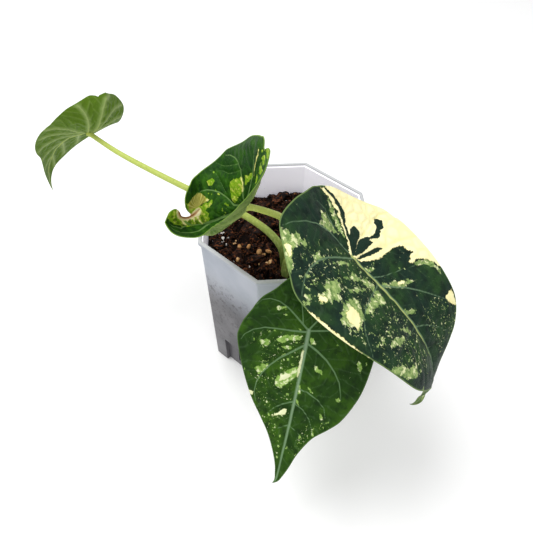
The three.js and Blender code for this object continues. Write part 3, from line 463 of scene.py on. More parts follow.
PALETTES = {
    "right": dict(
        base=srgb(26, 46, 36), shade=srgb(15, 28, 23), glow=srgb(40, 68, 34), light=srgb(150, 172, 104),
        light2=srgb(88, 118, 62), cream=srgb(248, 241, 190), yellow_and_shade=srgb(234, 222, 146),
        pale=srgb(228, 230, 178), vein=srgb(98, 124, 94), midrib=srgb(180, 190, 116), edge=srgb(112, 136, 78),
        under=srgb(116, 138, 96), under_vein_and_highlight=srgb(168, 186, 128), hollow=0.12, groove=0.42, ragged=6.5,
        speck=0.708, halo=0.3, blotch=1.0),
    "front": dict(
        base=srgb(31, 60, 15), shade=srgb(18, 40, 11), glow=srgb(52, 86, 17), light=srgb(146, 178, 92),
        light2=srgb(104, 142, 56), cream=srgb(228, 230, 192), yellow_and_shade=srgb(196, 206, 140),
        pale=srgb(222, 228, 184), vein=srgb(98, 128, 88), midrib=srgb(126, 150, 120), edge=srgb(70, 100, 44),
        under=srgb(110, 138, 84), under_vein_and_highlight=srgb(160, 182, 120), hollow=0.16, groove=0.3, ragged=4,
        speck=0.728, halo=0.3, blotch=1.0),
    "cupped": dict(
        base=srgb(28, 66, 14), shade=srgb(18, 48, 22), glow=srgb(52, 98, 16), light=srgb(142, 176, 40),
        light2=srgb(94, 146, 14), cream=srgb(244, 232, 186), yellow_and_shade=srgb(220, 218, 118),
        pale=srgb(200, 206, 92), vein=srgb(112, 146, 82), midrib=srgb(122, 150, 84), edge=srgb(124, 158, 62),
        under=srgb(118, 138, 76), under_vein_and_highlight=srgb(150, 168, 98), hollow=0.1, groove=0.3, ragged=2.6,
        speck=0.74, halo=0.7, blotch=0.62),
    "back_left": dict(
        base=srgb(58, 88, 26), shade=srgb(40, 66, 16), glow=srgb(88, 118, 40), light=srgb(150, 186, 66),
        light2=srgb(120, 160, 50), cream=srgb(232, 226, 170), yellow_and_shade=srgb(196, 190, 110),
        pale=srgb(214, 222, 140), vein=srgb(120, 158, 84), midrib=srgb(170, 186, 74), edge=srgb(112, 146, 36),
        under=srgb(86, 116, 28), under_vein_and_highlight=srgb(160, 178, 112), hollow=0.0, groove=0.4, ragged=3, speck=0.8,
        halo=0.3, blotch=1.0),
}


# Numbers for chance and for noise over many points at once

class Chance:
    """Repeatable numbers from 0 to 1, the same that the solids were made with."""

    FACTOR = 1664525
    SHIFT = 1013904223
    RANGE = 2 ** 32

    def __init__(self, seed):
        self.state = seed

    def __call__(self):
        self.state = (self.state * self.FACTOR + self.SHIFT) % self.RANGE
        return self.state / self.RANGE


def make_noise(points, scale, seed):
    """Smooth noise from -1 to 1 at many points, the same in every run."""
    shift = Vector((seed * 7.3, seed * 3.1, seed * 5.7))
    return np.array([noise.noise(Vector(p) * scale + shift) for p in points])


def quilt_depth(x, y):
    """Zero on the seams between uneven cells and growing towards the middle of each."""
    places = zip(x * QUILT_SCALE, y * QUILT_SCALE)
    found = [noise.voronoi(Vector((a, b, 0.37)), distance_metric="DISTANCE")[0] for a, b in places]
    return np.array([d[1] - d[0] for d in found])


def bell(distance, reach):
    """One where the distance is zero, fading to zero beyond the reach."""
    return np.exp(-(distance / reach) ** 2)


def line_distance(x, y, line, closed=False):
    """Distance of many flat points from a line, how far along it the nearest place is, and its length."""
    pts = np.array(line + [line[0]] if closed else line, float)
    best = np.full(x.shape, 1e9)
    along = np.zeros(x.shape)
    gone = 0.0
    for a, b in zip(pts[:-1], pts[1:]):
        step = b - a
        length = math.hypot(*step)
        if length < 1e-9:
            continue
        t = np.clip(((x - a[0]) * step[0] + (y - a[1]) * step[1]) / length ** 2, 0, 1)
        d = np.hypot(x - a[0] - t * step[0], y - a[1] - t * step[1])
        nearer = d < best
        best = np.where(nearer, d, best)
        along = np.where(nearer, gone + t * length, along)
        gone += length
    return best, along, gone


def inside(x, y, ring):
    """Whether many flat points lie in a closed outline."""
    odd = np.zeros(x.shape, bool)
    pts = np.array(ring, float)
    for a, b in zip(pts, np.roll(pts, -1, axis=0)):
        if a[1] == b[1]:
            continue
        crosses = (a[1] > y) != (b[1] > y)
        odd ^= crosses & (x < (b[0] - a[0]) * (y - a[1]) / (b[1] - a[1]) + a[0])
    return odd


def mark_field(x, y, rings, dots=()):
    """How deep in a stretch of colour each flat point is, in millimetres, and below zero outside."""
    field = np.full(x.shape, -MARK_LIMIT)
    for ring in rings:
        depth = line_distance(x, y, ring, True)[0]
        field = np.maximum(field, np.where(inside(x, y, ring), depth, -depth))
    for k, (cx, cy) in enumerate(dots):
        radius = FLECK_SIZE * (0.7 + 0.6 * ((k * 0.37) % 1))
        field = np.maximum(field, radius - np.hypot(x - cx, y - cy))
    return np.clip(field, -MARK_LIMIT, MARK_LIMIT)


def with_ends(points):
    """The points and one more beyond each end, for a curve through all the given ones."""
    pts = [np.array(p, float) for p in points]
    return [2 * pts[0] - pts[1]] + pts + [2 * pts[-1] - pts[-2]]


# Objects

def add_values(mesh, name, values):
    layer = mesh.attributes.new(name, "FLOAT", "POINT")
    layer.data.foreach_set("value", np.asarray(values, np.float32))


def make_object(name, points, faces, material, smooth=True):
    mesh = bpy.data.meshes.new(name)
    mesh.from_pydata([tuple(p) for p in np.asarray(points) * MM], [], faces)
    mesh.validate()
    mesh.update()
    mesh.polygons.foreach_set("use_smooth", [smooth] * len(mesh.polygons))
    mesh.materials.append(material)
    made = bpy.data.objects.new(name, mesh)
    bpy.context.scene.collection.objects.link(made)
    return made


def tube_faces(start, sides, steps):
    """Faces of a closed tube whose rings of corners follow one another from a first corner."""
    faces = []
    for k in range(steps):
        for i in range(sides):
            a = start + k * sides + i
            b = start + k * sides + (i + 1) % sides
            faces.append([a, b, b + sides, a + sides])
    faces.append([start + i for i in reversed(range(sides))])
    faces.append([start + steps * sides + i for i in range(sides)])
    return faces


# Leaf blades

def leaf_axes(leaf):
    """Ways along the midrib where it leaves the stalk, to the left and out of the upper face."""
    heading, climb, roll = (math.radians(leaf[key]) for key in ("heading", "climb", "roll"))
    level_share = math.cos(climb)
    along = np.array([math.cos(heading) * level_share, math.sin(heading) * level_share, math.sin(climb)])
    level = np.array([-math.sin(heading), math.cos(heading), 0])
    upright = np.cross(along, level)
    left = level * math.cos(roll) + upright * math.sin(roll)
    up = -level * math.sin(roll) + upright * math.cos(roll)
    return along, left, up


def midrib_turns(leaf, s):
    """Pitch and swerve of the midrib at distances from the stalk, in radians."""
    ahead = np.maximum(s, 0) / leaf["front"]
    past = np.maximum(0, (s - leaf["hook"][2]) / (leaf["tip"] - leaf["hook"][2]))
    turns = []
    for kind, lobe, hook in (("droop", "lobe_droop", 1), ("swerve", "lobe_swerve", 0)):
        front = leaf[kind][0] * ahead ** leaf[kind][1] + leaf["hook"][hook] * past
        turns.append(np.radians(np.where(s >= 0, front, leaf[lobe] * s / leaf["back"])))
    return turns


def bend_points(leaf, x, y):
    """Places in space of many flat points, by walking along the midrib and then out across."""
    along, left, up = leaf_axes(leaf)
    steps = (np.arange(WALK_STEPS) + 0.5) / WALK_STEPS
    pitch, swerve = midrib_turns(leaf, x[:, None] * steps)
    ahead = np.mean(np.cos(pitch) * np.cos(swerve), 1) * x
    aside = np.mean(np.cos(pitch) * np.sin(swerve), 1) * x
    below = -np.mean(np.sin(pitch), 1) * x
    middle = np.array(leaf["at"]) + np.outer(ahead, along) + np.outer(aside, left) + np.outer(below, up)

    pitch, swerve = (turn[:, None] for turn in midrib_turns(leaf, x))
    forward = along * np.cos(swerve) + left * np.sin(swerve)
    across = left * np.cos(swerve) - along * np.sin(swerve)
    out = forward * np.sin(pitch) + up * np.cos(pitch)
    twist = np.radians(leaf["twist"] * x / leaf["front"])[:, None]
    side = across * np.cos(twist) + out * np.sin(twist)
    face = out * np.cos(twist) - across * np.sin(twist)

    share = np.clip(x / leaf["front"], -1, 1)
    is_left = y >= 0
    fold, fold_tip, cup, cup_tip, half = (np.where(is_left, *leaf[key])
                                          for key in ("fold", "fold_tip", "cup", "cup_tip", "half"))
    pinch, pinch_at, pinch_reach = leaf["pinch"]
    flare, flare_at, flare_reach = leaf["flare"]
    curl, curl_at, curl_reach = leaf["curl"]
    fold = fold + fold_tip * share + pinch * bell(x - pinch_at, pinch_reach) * is_left
    fold = fold + flare * np.clip((flare_at - x) / flare_reach, 0, 1) * is_left
    cup = cup + cup_tip * np.maximum(0, share)
    cup = cup + curl * np.clip((x - curl_at) / curl_reach, 0, 1) * is_left
    reach = np.abs(y)
    angle = np.radians(fold[:, None] + cup[:, None] * reach[:, None] * steps / half[:, None])
    outwards = np.mean(np.cos(angle), 1) * reach * np.where(is_left, 1, -1)
    upwards = np.mean(np.sin(angle), 1) * reach
    return middle + side * outwards[:, None] + face * upwards[:, None]


def smooth_edge(points):
    """Smooth open line through flat points, and the share of its length at every step."""
    pts = with_ends(points)
    line = []
    for a, b, c, d in zip(pts[:-3], pts[1:-2], pts[2:-1], pts[3:]):
        for t in np.arange(EDGE_STEPS) / EDGE_STEPS:
            line.append(0.5 * (2 * b + (c - a) * t + (2 * a - 5 * b + 4 * c - d) * t * t
                               + (3 * b - a - 3 * c + d) * t ** 3))
    line = np.array(line + [pts[-2]])
    shares = np.concatenate([[0], np.cumsum(np.hypot(*np.diff(line, axis=0).T))])
    return line, shares / shares[-1]


def blade_grid(leaf):
    """Flat points of the fine blade, its faces, the steps round its edge, and its outline."""
    edges = [smooth_edge(leaf["left"]), smooth_edge(leaf["right"])]
    leaving = np.mean([s[np.argmax(line[:, 0] >= 0.1 * leaf["front"])] for line, s in edges])
    row_share = np.linspace(0, 1, ROWS + 1)
    column = np.linspace(0, 1, COLUMNS + 1)
    flat = []
    for sign, (line, shares) in zip((1, -1), edges):
        ex = np.interp(row_share, shares, line[:, 0])[:, None]
        ey = np.interp(row_share, shares, line[:, 1])[:, None]
        q = np.clip((row_share - leaving) / (1 - leaving), 0, 1)[:, None]
        start = leaf["tip"] * q ** 1.2
        arch = np.minimum(1, start / ARCH_REACH)
        mx = start + (0.5 - 0.18 * arch) * (ex - start)
        my = (0.5 + 0.12 * arch) * ey
        x = (1 - column) ** 2 * start + 2 * column * (1 - column) * mx + column ** 2 * ex
        y = 2 * column * (1 - column) * my + column ** 2 * ey
        flat.append(np.stack([x, y * sign], -1))
    flat = np.stack(flat).reshape(-1, 2)
    keys = np.round(flat, 3) + 0.0
    first, back = np.unique(keys, axis=0, return_index=True, return_inverse=True)[1:]
    quads = []
    rims = []
    for half, g in enumerate(back.reshape(2, ROWS + 1, COLUMNS + 1)):
        a, b, c, d = g[:-1, :-1], g[:-1, 1:], g[1:, 1:], g[1:, :-1]
        quads.append(np.stack([a, b, c, d] if half else [a, d, c, b], -1).reshape(-1, 4))
        rim = np.stack([g[:-1, -1], g[1:, -1]], -1)
        rims.append(rim[:, ::-1] if half else rim)
    outline = np.concatenate([edges[0][0], edges[1][0][::-1] * [1, -1]])
    return flat[first], np.concatenate(quads), np.concatenate(rims), [tuple(p) for p in outline]


def vein_fields(name, x, y):
    """Distance to the nearest main vein, how deep in one a point is, and distance to a side vein."""
    nearest = np.full(x.shape, 99.0)
    deep = np.full(x.shape, -9.0)
    side = np.full(x.shape, 9.0)
    for k, (width, line) in enumerate(VEINS[name]):
        kind = BRANCH if k else MIDRIB
        d, s, total = line_distance(x, y, line)
        taper = 1 - kind["narrowing"] * s / total
        nearer = d < nearest
        phase = (s - SIDE_VEIN_SLANT * d) / kind["spacing"] + 0.31 * k
        stripe = np.abs(phase - np.floor(phase) - 0.5) * kind["spacing"] * 0.8
        side = np.where(nearer, stripe, side)
        nearest = np.where(nearer, d, nearest)
        deep = np.maximum(deep, kind["half"] * width * taper - d)
    return nearest, deep, side


def blade_fields(name, x, y, outline):
    """All that is painted or raised on a blade, as values over its flat points."""
    marks = MARKS[name]
    fields = {kind: mark_field(x, y, marks.get(kind, ())) for kind in ("cream", "dark", "scar", "tan")}
    fields["light"] = mark_field(x, y, marks.get("light", ()), marks.get("fleck", ()))
    fields["speckled"] = mark_field(x, y, marks.get("speckled", ()))
    nearest, fields["vein"], fields["stripe"] = vein_fields(name, x, y)
    fields["nearest"] = np.minimum(nearest, 20)
    fields["margin"] = line_distance(x, y, outline, True)[0]
    fields["quilt"] = quilt_depth(x, y)
    return fields


def blade_heights(name, x, spots, fields):
    """Heights of the upper face, the rim and the lower face over the leaf's curved surface."""
    front = LEAVES[name]["front"]
    nearest = fields["nearest"]
    creamy = np.clip(fields["cream"] * 0.5 + 0.5, 0, 1)
    body = 1 - bell(fields["margin"], EDGE_REACH)
    groove = bell(fields["stripe"], GROOVE_REACH) * (1 - bell(nearest, 1.2))
    groove *= np.clip((0.72 * front - x) / 20, 0, 1)
    pucker = make_noise(spots, 0.16, 1) + 0.5 * make_noise(spots, 0.4, 2)
    puffs = np.minimum(fields["quilt"], 0.4) ** 0.6
    relief = PANEL_LIFT * (1 - bell(nearest, PANEL_REACH)) - PALETTES[name]["groove"] * groove * (1 - creamy)
    relief = (relief + PUCKER_LIFT * pucker + (PUFF_LIFT + 0.5 * creamy) * puffs) * body
    taper = np.clip(1 - np.abs(x) / front, 0.15, 1)
    ridge = bell(nearest, KEEL_REACH) * KEEL * taper + 0.15 * groove * body
    thick = BLADE * (0.45 + 0.55 * body)
    return relief + thick / 2 - VEIN_DROP * bell(nearest, 0.9), relief, relief - thick / 2 - ridge


def skin_faces(quads, rims, count):
    """Faces over both sides of a blade and its narrow edge, and the flat points along that edge."""
    rim_ids = np.unique(rims)
    rim_place = dict(zip(rim_ids.tolist(), range(2 * count, 2 * count + len(rim_ids))))
    faces = []
    for quad in quads.tolist():
        corners = list(dict.fromkeys(quad))
        if len(corners) < 3:
            continue
        faces.append(corners)
        faces.append([c + count for c in reversed(corners)])
    for p, q in rims.tolist():
        if p == q:
            continue
        faces.append([p, q, rim_place[q], rim_place[p]])
        faces.append([rim_place[p], rim_place[q], q + count, p + count])
    return faces, rim_ids


def make_blade(name, material):
    leaf = LEAVES[name]
    flat, quads, rims, outline = blade_grid(leaf)
    count = len(flat)
    x, y = flat.T
    spots = np.column_stack([x, y, np.zeros(count)])
    side = np.where(y >= 0, NEAR, -NEAR)
    here = bend_points(leaf, x, y)
    ahead = bend_points(leaf, x + NEAR, y) - here
    across = bend_points(leaf, x, y + side) - here
    out = np.cross(ahead, across) * np.sign(side)[:, None]
    out /= np.linalg.norm(out, axis=1)[:, None]
    fields = blade_fields(name, x, y, outline)
    upper, middle, lower = (here + out * height[:, None] for height in blade_heights(name, x, spots, fields))
    faces, rim_ids = skin_faces(quads, rims, count)
    reach = here.mean(0) - here[rim_ids]
    edge = middle[rim_ids] - EDGE_SWELL * reach / np.linalg.norm(reach, axis=1)[:, None]
    made = make_object(f"blade_{name}", np.concatenate([upper, lower, edge]), faces, material)

    mesh = made.data
    for kind, values in fields.items():
        add_values(mesh, kind, np.concatenate([values, values, values[rim_ids]]))
    add_values(mesh, "under", np.concatenate([np.zeros(count), np.ones(count), np.full(len(rim_ids), 0.5)]))
    all_spots = np.concatenate([spots, spots, spots[rim_ids]])
    layer = mesh.attributes.new("flat", "FLOAT_VECTOR", "POINT")
    layer.data.foreach_set("vector", all_spots.astype(np.float32).ravel())
    uv = mesh.uv_layers.new(name="flat")
    loops = np.zeros(len(mesh.loops), int)
    mesh.loops.foreach_get("vertex_index", loops)
    uv.data.foreach_set("uv", (all_spots[loops][:, :2] / UV_SPAN + 0.5).astype(np.float32).ravel())
    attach(made, "root")
    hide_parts(f"leaf_{name}")


# Stalks

def smooth_path(points, steps):
    """Evenly spaced points on a centripetal curve through the given ones, and the curve's length."""
    pts = with_ends(points)
    line = []
    for a, b, c, d in zip(pts[:-3], pts[1:-2], pts[2:-1], pts[3:]):
        ab, bc, cd = (max(1e-4, np.linalg.norm(q - p) ** 0.5) for p, q in ((a, b), (b, c), (c, d)))
        ab = ab if ab > 1e-3 else bc
        cd = cd if cd > 1e-3 else bc
        t1 = ((b - a) / ab - (c - a) / (ab + bc) + (c - b) / bc) * bc
        t2 = ((c - b) / bc - (d - b) / (bc + cd) + (d - c) / cd) * bc
        for t in np.arange(PATH_STEPS) / PATH_STEPS:
            line.append(b + t1 * t + (3 * (c - b) - 2 * t1 - t2) * t * t + (2 * (b - c) + t1 + t2) * t ** 3)
    line = np.array(line + [pts[-2]])
    gone = np.concatenate([[0], np.cumsum(np.linalg.norm(np.diff(line, axis=0), axis=1))])
    places = np.linspace(0, gone[-1], steps + 1)
    return np.column_stack([np.interp(places, gone, line[:, n]) for n in range(3)]), gone[-1]


def make_stalk(name, material):
    leaf = LEAVES[name]
    path = STALKS[name]
    up = leaf_axes(leaf)[2]
    meet = bend_points(leaf, np.array([float(path["join"])]), np.array([0.0]))[0]
    bend = [] if name == "back_left" else [tuple(meet - up * STALK_BEND)]
    points = path["points"] + bend + [tuple(meet - up * STALK_SINK)]
    length = smooth_path(points, 4)[1]
    steps = int(length / STALK_STEP)
    line = smooth_path(points, steps)[0]
    ahead = np.gradient(line, axis=0)
    ahead /= np.linalg.norm(ahead, axis=1)[:, None]
    side = np.cross(ahead[0], [1, 0, 0])
    turn = np.arange(STALK_SIDES) / STALK_SIDES * 2 * math.pi
    furrow = 1 - 0.05 * bell(turn - 1.5, 0.4) + 0.012 * np.cos(5 * turn + 2)
    foot, top = path["widths"]
    rings = []
    shares = []
    for k, (place, forward) in enumerate(zip(line, ahead)):
        side = side - forward * side.dot(forward)
        side /= np.linalg.norm(side)
        other = np.cross(forward, side)
        t = k / steps
        from_start = length * t
        radius = (foot + (top - foot) * t) / 2
        radius += 0.55 * bell(length * (1 - t), 2.2) + 0.35 * math.exp(-max(0, from_start - 6) / 9)
        rings.append(place + np.outer(np.cos(turn) * radius * furrow, side)
                     + np.outer(np.sin(turn) * radius * furrow, other))
        shares += [from_start / STALK_SPAN] * STALK_SIDES
    faces = tube_faces(0, STALK_SIDES, steps)
    made = make_object(f"petiole_{name}", np.concatenate(rings), faces, material)
    add_values(made.data, "height", shares)
    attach(made, "root")
    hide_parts(f"stalk_{name}")


# Pot

def pot_outline(z, inset):
    """Distance from the middle to a short side, and half a short side's width, at a height."""
    t = z / POT_HEIGHT
    reach = FOOT_REACH + (RIM_REACH - LIP_OVERHANG - FOOT_REACH) * t - inset
    half = FOOT_HALF_SIDE + (RIM_HALF_SIDE - FOOT_HALF_SIDE) * t - inset * (math.sqrt(2) - 1)
    return reach, half


def pot_ring(z, inset, alcove_inset, round_by):
    """Points round the pot at a height, and for each its stop on a long side, or -1."""
    reach, half = pot_outline(z, inset)
    turn_in = round_by * math.tan(math.pi / 8)
    ring = []
    stops = []
    for k in range(8):
        angle = -math.pi / 2 + k * math.pi / 4
        out = np.array([math.cos(angle), math.sin(angle)])
        along = np.array([-out[1], out[0]])
        if k % 2 == 0:
            middle, width = out * reach, half
            ring += [middle + along * (s * (half - turn_in)) for s in SHORT_SIDE_STOPS]
            stops += [-1] * len(SHORT_SIDE_STOPS)
        else:
            middle, width = out * ((reach + half) / math.sqrt(2)), (reach - half) / math.sqrt(2)
            for index, s in enumerate(LONG_SIDE_STOPS):
                place = middle + along * s
                if alcove_inset and 1 <= index <= len(LONG_SIDE_STOPS) - 2:
                    sunk = place.dot(out) - ((FOOT_REACH + FOOT_HALF_SIDE) / math.sqrt(2) - alcove_inset)
                    place = place - out * max(0, sunk)
                ring.append(place)
                stops.append(index)
        corner = middle + along * width
        bisector = out + np.array([math.cos(angle + math.pi / 4), math.sin(angle + math.pi / 4)])
        bisector /= np.linalg.norm(bisector)
        centre = corner - bisector * round_by / math.cos(math.pi / 8)
        for share in CORNER_STOPS:
            a = angle + share * math.pi / 4
            ring.append(centre + round_by * np.array([math.cos(a), math.sin(a)]))
            stops.append(-1)
    return np.array(ring), stops


def pot_profile():
    """Heights of the wall's rings, then height, inset and alcove inset of each ring outside and inside."""
    high = ALCOVE_HEIGHT
    lip = POT_HEIGHT - LIP_HEIGHT
    top = POT_HEIGHT
    over = -LIP_OVERHANG
    heights = [0.5, 2.2, DRAIN_BOTTOM, 9.3, 13.6, DRAIN_TOP, 21, high, high + 0.35]
    heights += list(np.linspace(high + 6, lip - 1.4, 12))
    outer = [(0.0, 0.5, ALCOVE_DEPTH)] + [(z, 0, ALCOVE_DEPTH if z <= high else 0) for z in heights]
    outer += [(lip - 0.5, 0, 0), (lip, -0.25, 0), (lip + 0.25, -0.9, 0), (lip + 0.7, over, 0),
              (top - 1.1, over, 0), (top - 0.35, over + 0.25, 0), (top, over + 0.75, 0), (top, 0.35, 0),
              (top - 0.25, 0.75, 0), (top - 1.3, 0.85, 0), (top - 1.5, WALL, 0)]
    inner = [(z, WALL, ALCOVE_DEPTH + WALL if z <= high else 0) for z in reversed(heights) if z > FLOOR]
    inner += [(FLOOR, WALL + 0.2, ALCOVE_DEPTH + WALL)]
    return heights, outer, inner


def make_pot(material):
    heights, outer, inner = pot_profile()
    rings = []
    for z, inset, sunk in outer + inner:
        ring, stops = pot_ring(z, inset, sunk, max(0.4, CORNER_ROUND - max(0, inset)))
        rings.append(np.column_stack([ring, np.full(len(ring), z)]))
    count = len(stops)
    faces = []
    for k, (ring, following) in enumerate(zip(rings[:-1], rings[1:])):
        z0, z1 = sorted((ring[0, 2], following[0, 2]))
        in_drain = z0 >= DRAIN_BOTTOM and z1 <= DRAIN_TOP and z1 > z0
        for i in range(count):
            j = (i + 1) % count
            if not (in_drain and stops[i] in (DRAIN_STOP, DRAIN_STOP + 1)):
                faces.append([k * count + i, k * count + j, (k + 1) * count + j, (k + 1) * count + i])

    row = {rings[k][0, 2]: k * count for k in range(len(outer))}
    back = {rings[k][0, 2]: k * count for k in range(len(outer), len(rings))}
    slot_heights = [z for z in heights if DRAIN_BOTTOM <= z <= DRAIN_TOP]
    for i in [i for i in range(count) if stops[i] == DRAIN_STOP]:
        for column, flip in ((i, False), (i + 2, True)):
            for low, top in zip(slot_heights[:-1], slot_heights[1:]):
                quad = [row[low] + column, row[top] + column, back[top] + column, back[low] + column]
                faces.append(quad[::-1] if flip else quad)
        for z, flip in ((DRAIN_BOTTOM, True), (DRAIN_TOP, False)):
            for column in (i, i + 1):
                quad = [row[z] + column, row[z] + column + 1, back[z] + column + 1, back[z] + column]
                faces.append(quad if flip else quad[::-1])
    faces.append(list(reversed(range(count))))
    faces.append([(len(rings) - 1) * count + i for i in range(count)])
    made = make_object("nursery_pot", np.concatenate(rings), faces, material)
    for polygon in made.data.polygons:
        polygon.use_smooth = abs(polygon.normal.z) < 0.999 or polygon.center.z > 0.09
    is_inner = [inset > 0.3 for _, inset, _ in outer] + [True] * len(inner)
    add_values(made.data, "inner", np.repeat(is_inner, count))
    edge = made.modifiers.new("crease", "EDGE_SPLIT")
    edge.split_angle = math.radians(CREASE_DEGREES)
    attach(made, "root")
    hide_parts("pot")


# Potting mix

def make_chunks():
    """Places, sizes and tilts of the chunks that break up the mix."""
    chance = Chance(41)
    return [((chance() - 0.5) * CHUNK_SPREAD, (chance() - 0.5) * CHUNK_SPREAD, 4 + chance() * 5,
             chance() * 4.5, (chance() - 0.5) * 0.5, (chance() - 0.5) * 0.5) for _ in range(CHUNK_COUNT)]


CHUNKS = make_chunks()


def mix_height(x, y):
    """Height of the broken surface at many places."""
    aside, behind = (x - MOUND_AT[0]) / MOUND_REACH[0], (y - MOUND_AT[1]) / MOUND_REACH[1]
    slope = np.maximum(0, y - MIX_FALL_FROM) * MIX_FALL - MOUND_LIFT * np.exp(-aside ** 2 - behind ** 2)
    z = MIX_TOP - MIX_DIP - slope
    for cx, cy, reach, lift, tilt_x, tilt_y in CHUNKS:
        dx, dy = x - cx, y - cy
        away = np.hypot(dx, dy) / reach
        top = MIX_TOP - MIX_DIP + lift * (1 - away ** 4) + tilt_x * dx + tilt_y * dy - slope
        z = np.where(away < 1, np.maximum(z, top), z)
    return z


def mix_height_at(x, y):
    return mix_height(np.array([x]), np.array([y]))[0]


def mix_rim(turn, z):
    """Distance from the middle to the pot's inner wall in a direction."""
    reach, half = pot_outline(z, WALL + 0.3)
    flat = reach / max(abs(math.cos(turn)), abs(math.sin(turn)))
    slant = (reach + half) / (abs(math.cos(turn)) + abs(math.sin(turn)))
    return min(flat, slant)


def make_mix(material):
    sides, rings = MIX_SIDES, MIX_RINGS
    turns = np.arange(sides) / sides * 2 * math.pi
    rim = np.array([mix_rim(t, MIX_TOP) for t in turns])
    share = (np.arange(1, rings + 1) / rings) ** 0.75
    x = np.concatenate([[0], (share[:, None] * rim * np.cos(turns)).ravel()])
    y = np.concatenate([[0], (share[:, None] * rim * np.sin(turns)).ravel()])
    low = len(x)
    spots = np.column_stack([x, y, np.zeros(low)])
    z = mix_height(x, y) + 1.1 * make_noise(spots, 0.35, 4)
    z = z + 0.9 * np.abs(make_noise(spots, 0.8, 5)) + 0.35 * make_noise(spots, 2.1, 6) - 0.9
    foot_rim = np.array([mix_rim(t, 8) for t in turns])
    foot = [foot_rim * np.cos(turns) * 0.9, foot_rim * np.sin(turns) * 0.9, np.full(sides, MIX_FOOT)]
    points = np.concatenate([np.column_stack([x, y, z]), np.column_stack(foot)])
    faces = [[0, 1 + i, 1 + (i + 1) % sides] for i in range(sides)]
    for r in range(rings - 1):
        for i in range(sides):
            a, b = 1 + r * sides + i, 1 + r * sides + (i + 1) % sides
            faces.append([a, a + sides, b + sides, b])
    last = 1 + (rings - 1) * sides
    for i in range(sides):
        j = (i + 1) % sides
        faces.append([last + i, low + i, low + j, last + j])
    faces.append([low + i for i in reversed(range(sides))])
    made = make_object("potting_mix_bed", points, faces, material)
    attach(made, "root")
    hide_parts("potting_mix")


def ball(detail):
    """Corners and faces of a subdivided twenty-sided ball."""
    made = bmesh.new()
    bmesh.ops.create_icosphere(made, subdivisions=detail, radius=1)
    corners = np.array([v.co[:] for v in made.verts])
    faces = np.array([[v.index for v in f.verts] for f in made.faces])
    made.free()
    return corners, faces


def random_turn(chance):
    turns = [Matrix.Rotation(chance() * FULL_TURN, 3, axis) for axis in "ZXY"]
    return np.array(turns[0] @ turns[1] @ turns[2])


def spot_in_pot(chance, margin):
    while True:
        x, y = (chance() - 0.5) * MIX_SPREAD, (chance() - 0.5) * MIX_SPREAD
        if math.hypot(x, y) < mix_rim(math.atan2(y, x), MIX_TOP) - margin:
            return x, y


def make_pieces(name, count, sizes, stretch, rough, material, seed, sink=0.0, places=None):
    """Many small irregular pieces lying on the mix, in one mesh."""
    chance = Chance(seed)
    corners, faces = ball(2)
    points = []
    polygons = []
    tints = []
    for k in range(count):
        size = sizes[0] + (sizes[1] - sizes[0]) * chance() ** 2.2
        x, y = places[k % len(places)] if places else spot_in_pot(chance, size + 0.8)
        shift = Vector((chance() * 90, chance() * 90, chance() * 90))
        lumps = np.array([1 + rough * noise.noise(Vector(c) * 1.3 + shift) + 0.4 * rough
                          * noise.noise(Vector(c) * 3.7 + shift) for c in corners])
        shape = corners * lumps[:, None] * [1 + stretch * chance(), 1, 0.55 + 0.4 * chance()]
        shape = shape @ random_turn(chance).T * size
        z = mix_height_at(x, y) - 0.3 + size * (0.25 + 0.35 * chance() - sink)
        points.append(shape + [x, y, z])
        polygons.append(faces + k * len(corners))
        tints += [chance()] * len(corners)
    faces = np.concatenate(polygons).tolist()
    made = make_object(name, np.concatenate(points), faces, material, smooth=rough < 0.3)
    add_values(made.data, "tint", tints)
    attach(made, "root")


def make_crumbs(material, places):
    """Crumbs of mix stuck to the inside of the pot."""
    corners, faces = ball(1)
    points = np.concatenate([corners * CRUMB_SIZE + place for place in places])
    polygons = np.concatenate([faces + k * len(corners) for k in range(len(places))])
    made = make_object("wall_crumbs", points, polygons.tolist(), material, smooth=False)
    add_values(made.data, "tint", [0.3] * len(points))
    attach(made, "root")


def make_fibres(material):
    """Short bent strands of coir lying on the mix."""
    chance = Chance(99)
    sides, steps = FIBRE_SIDES, FIBRE_STEPS
    points = []
    faces = []
    for _ in range(FIBRE_COUNT):
        faces += tube_faces(len(points), sides, steps)
        x, y = spot_in_pot(chance, 6)
        heading = chance() * FULL_TURN
        bend = (chance() - 0.5) * 0.5
        lift = 0.5 + chance() * 1.6
        radius = 0.07 + chance() * 0.13
        length = 3 + chance() * 7
        for t in np.arange(steps + 1) / steps:
            px = x + math.cos(heading) * length * (t - 0.5)
            py = y + math.sin(heading) * length * (t - 0.5)
            heading += bend * 0.5
            z = mix_height_at(px, py) + 0.3 + lift * math.sin(math.pi * t)
            for a in np.arange(sides) / sides * 2 * math.pi:
                points.append((px - math.sin(heading) * radius * math.cos(a),
                               py + math.cos(heading) * radius * math.cos(a), z + radius * math.sin(a)))
    made = make_object("coir_strands", points, faces, material)
    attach(made, "root")


# Materials

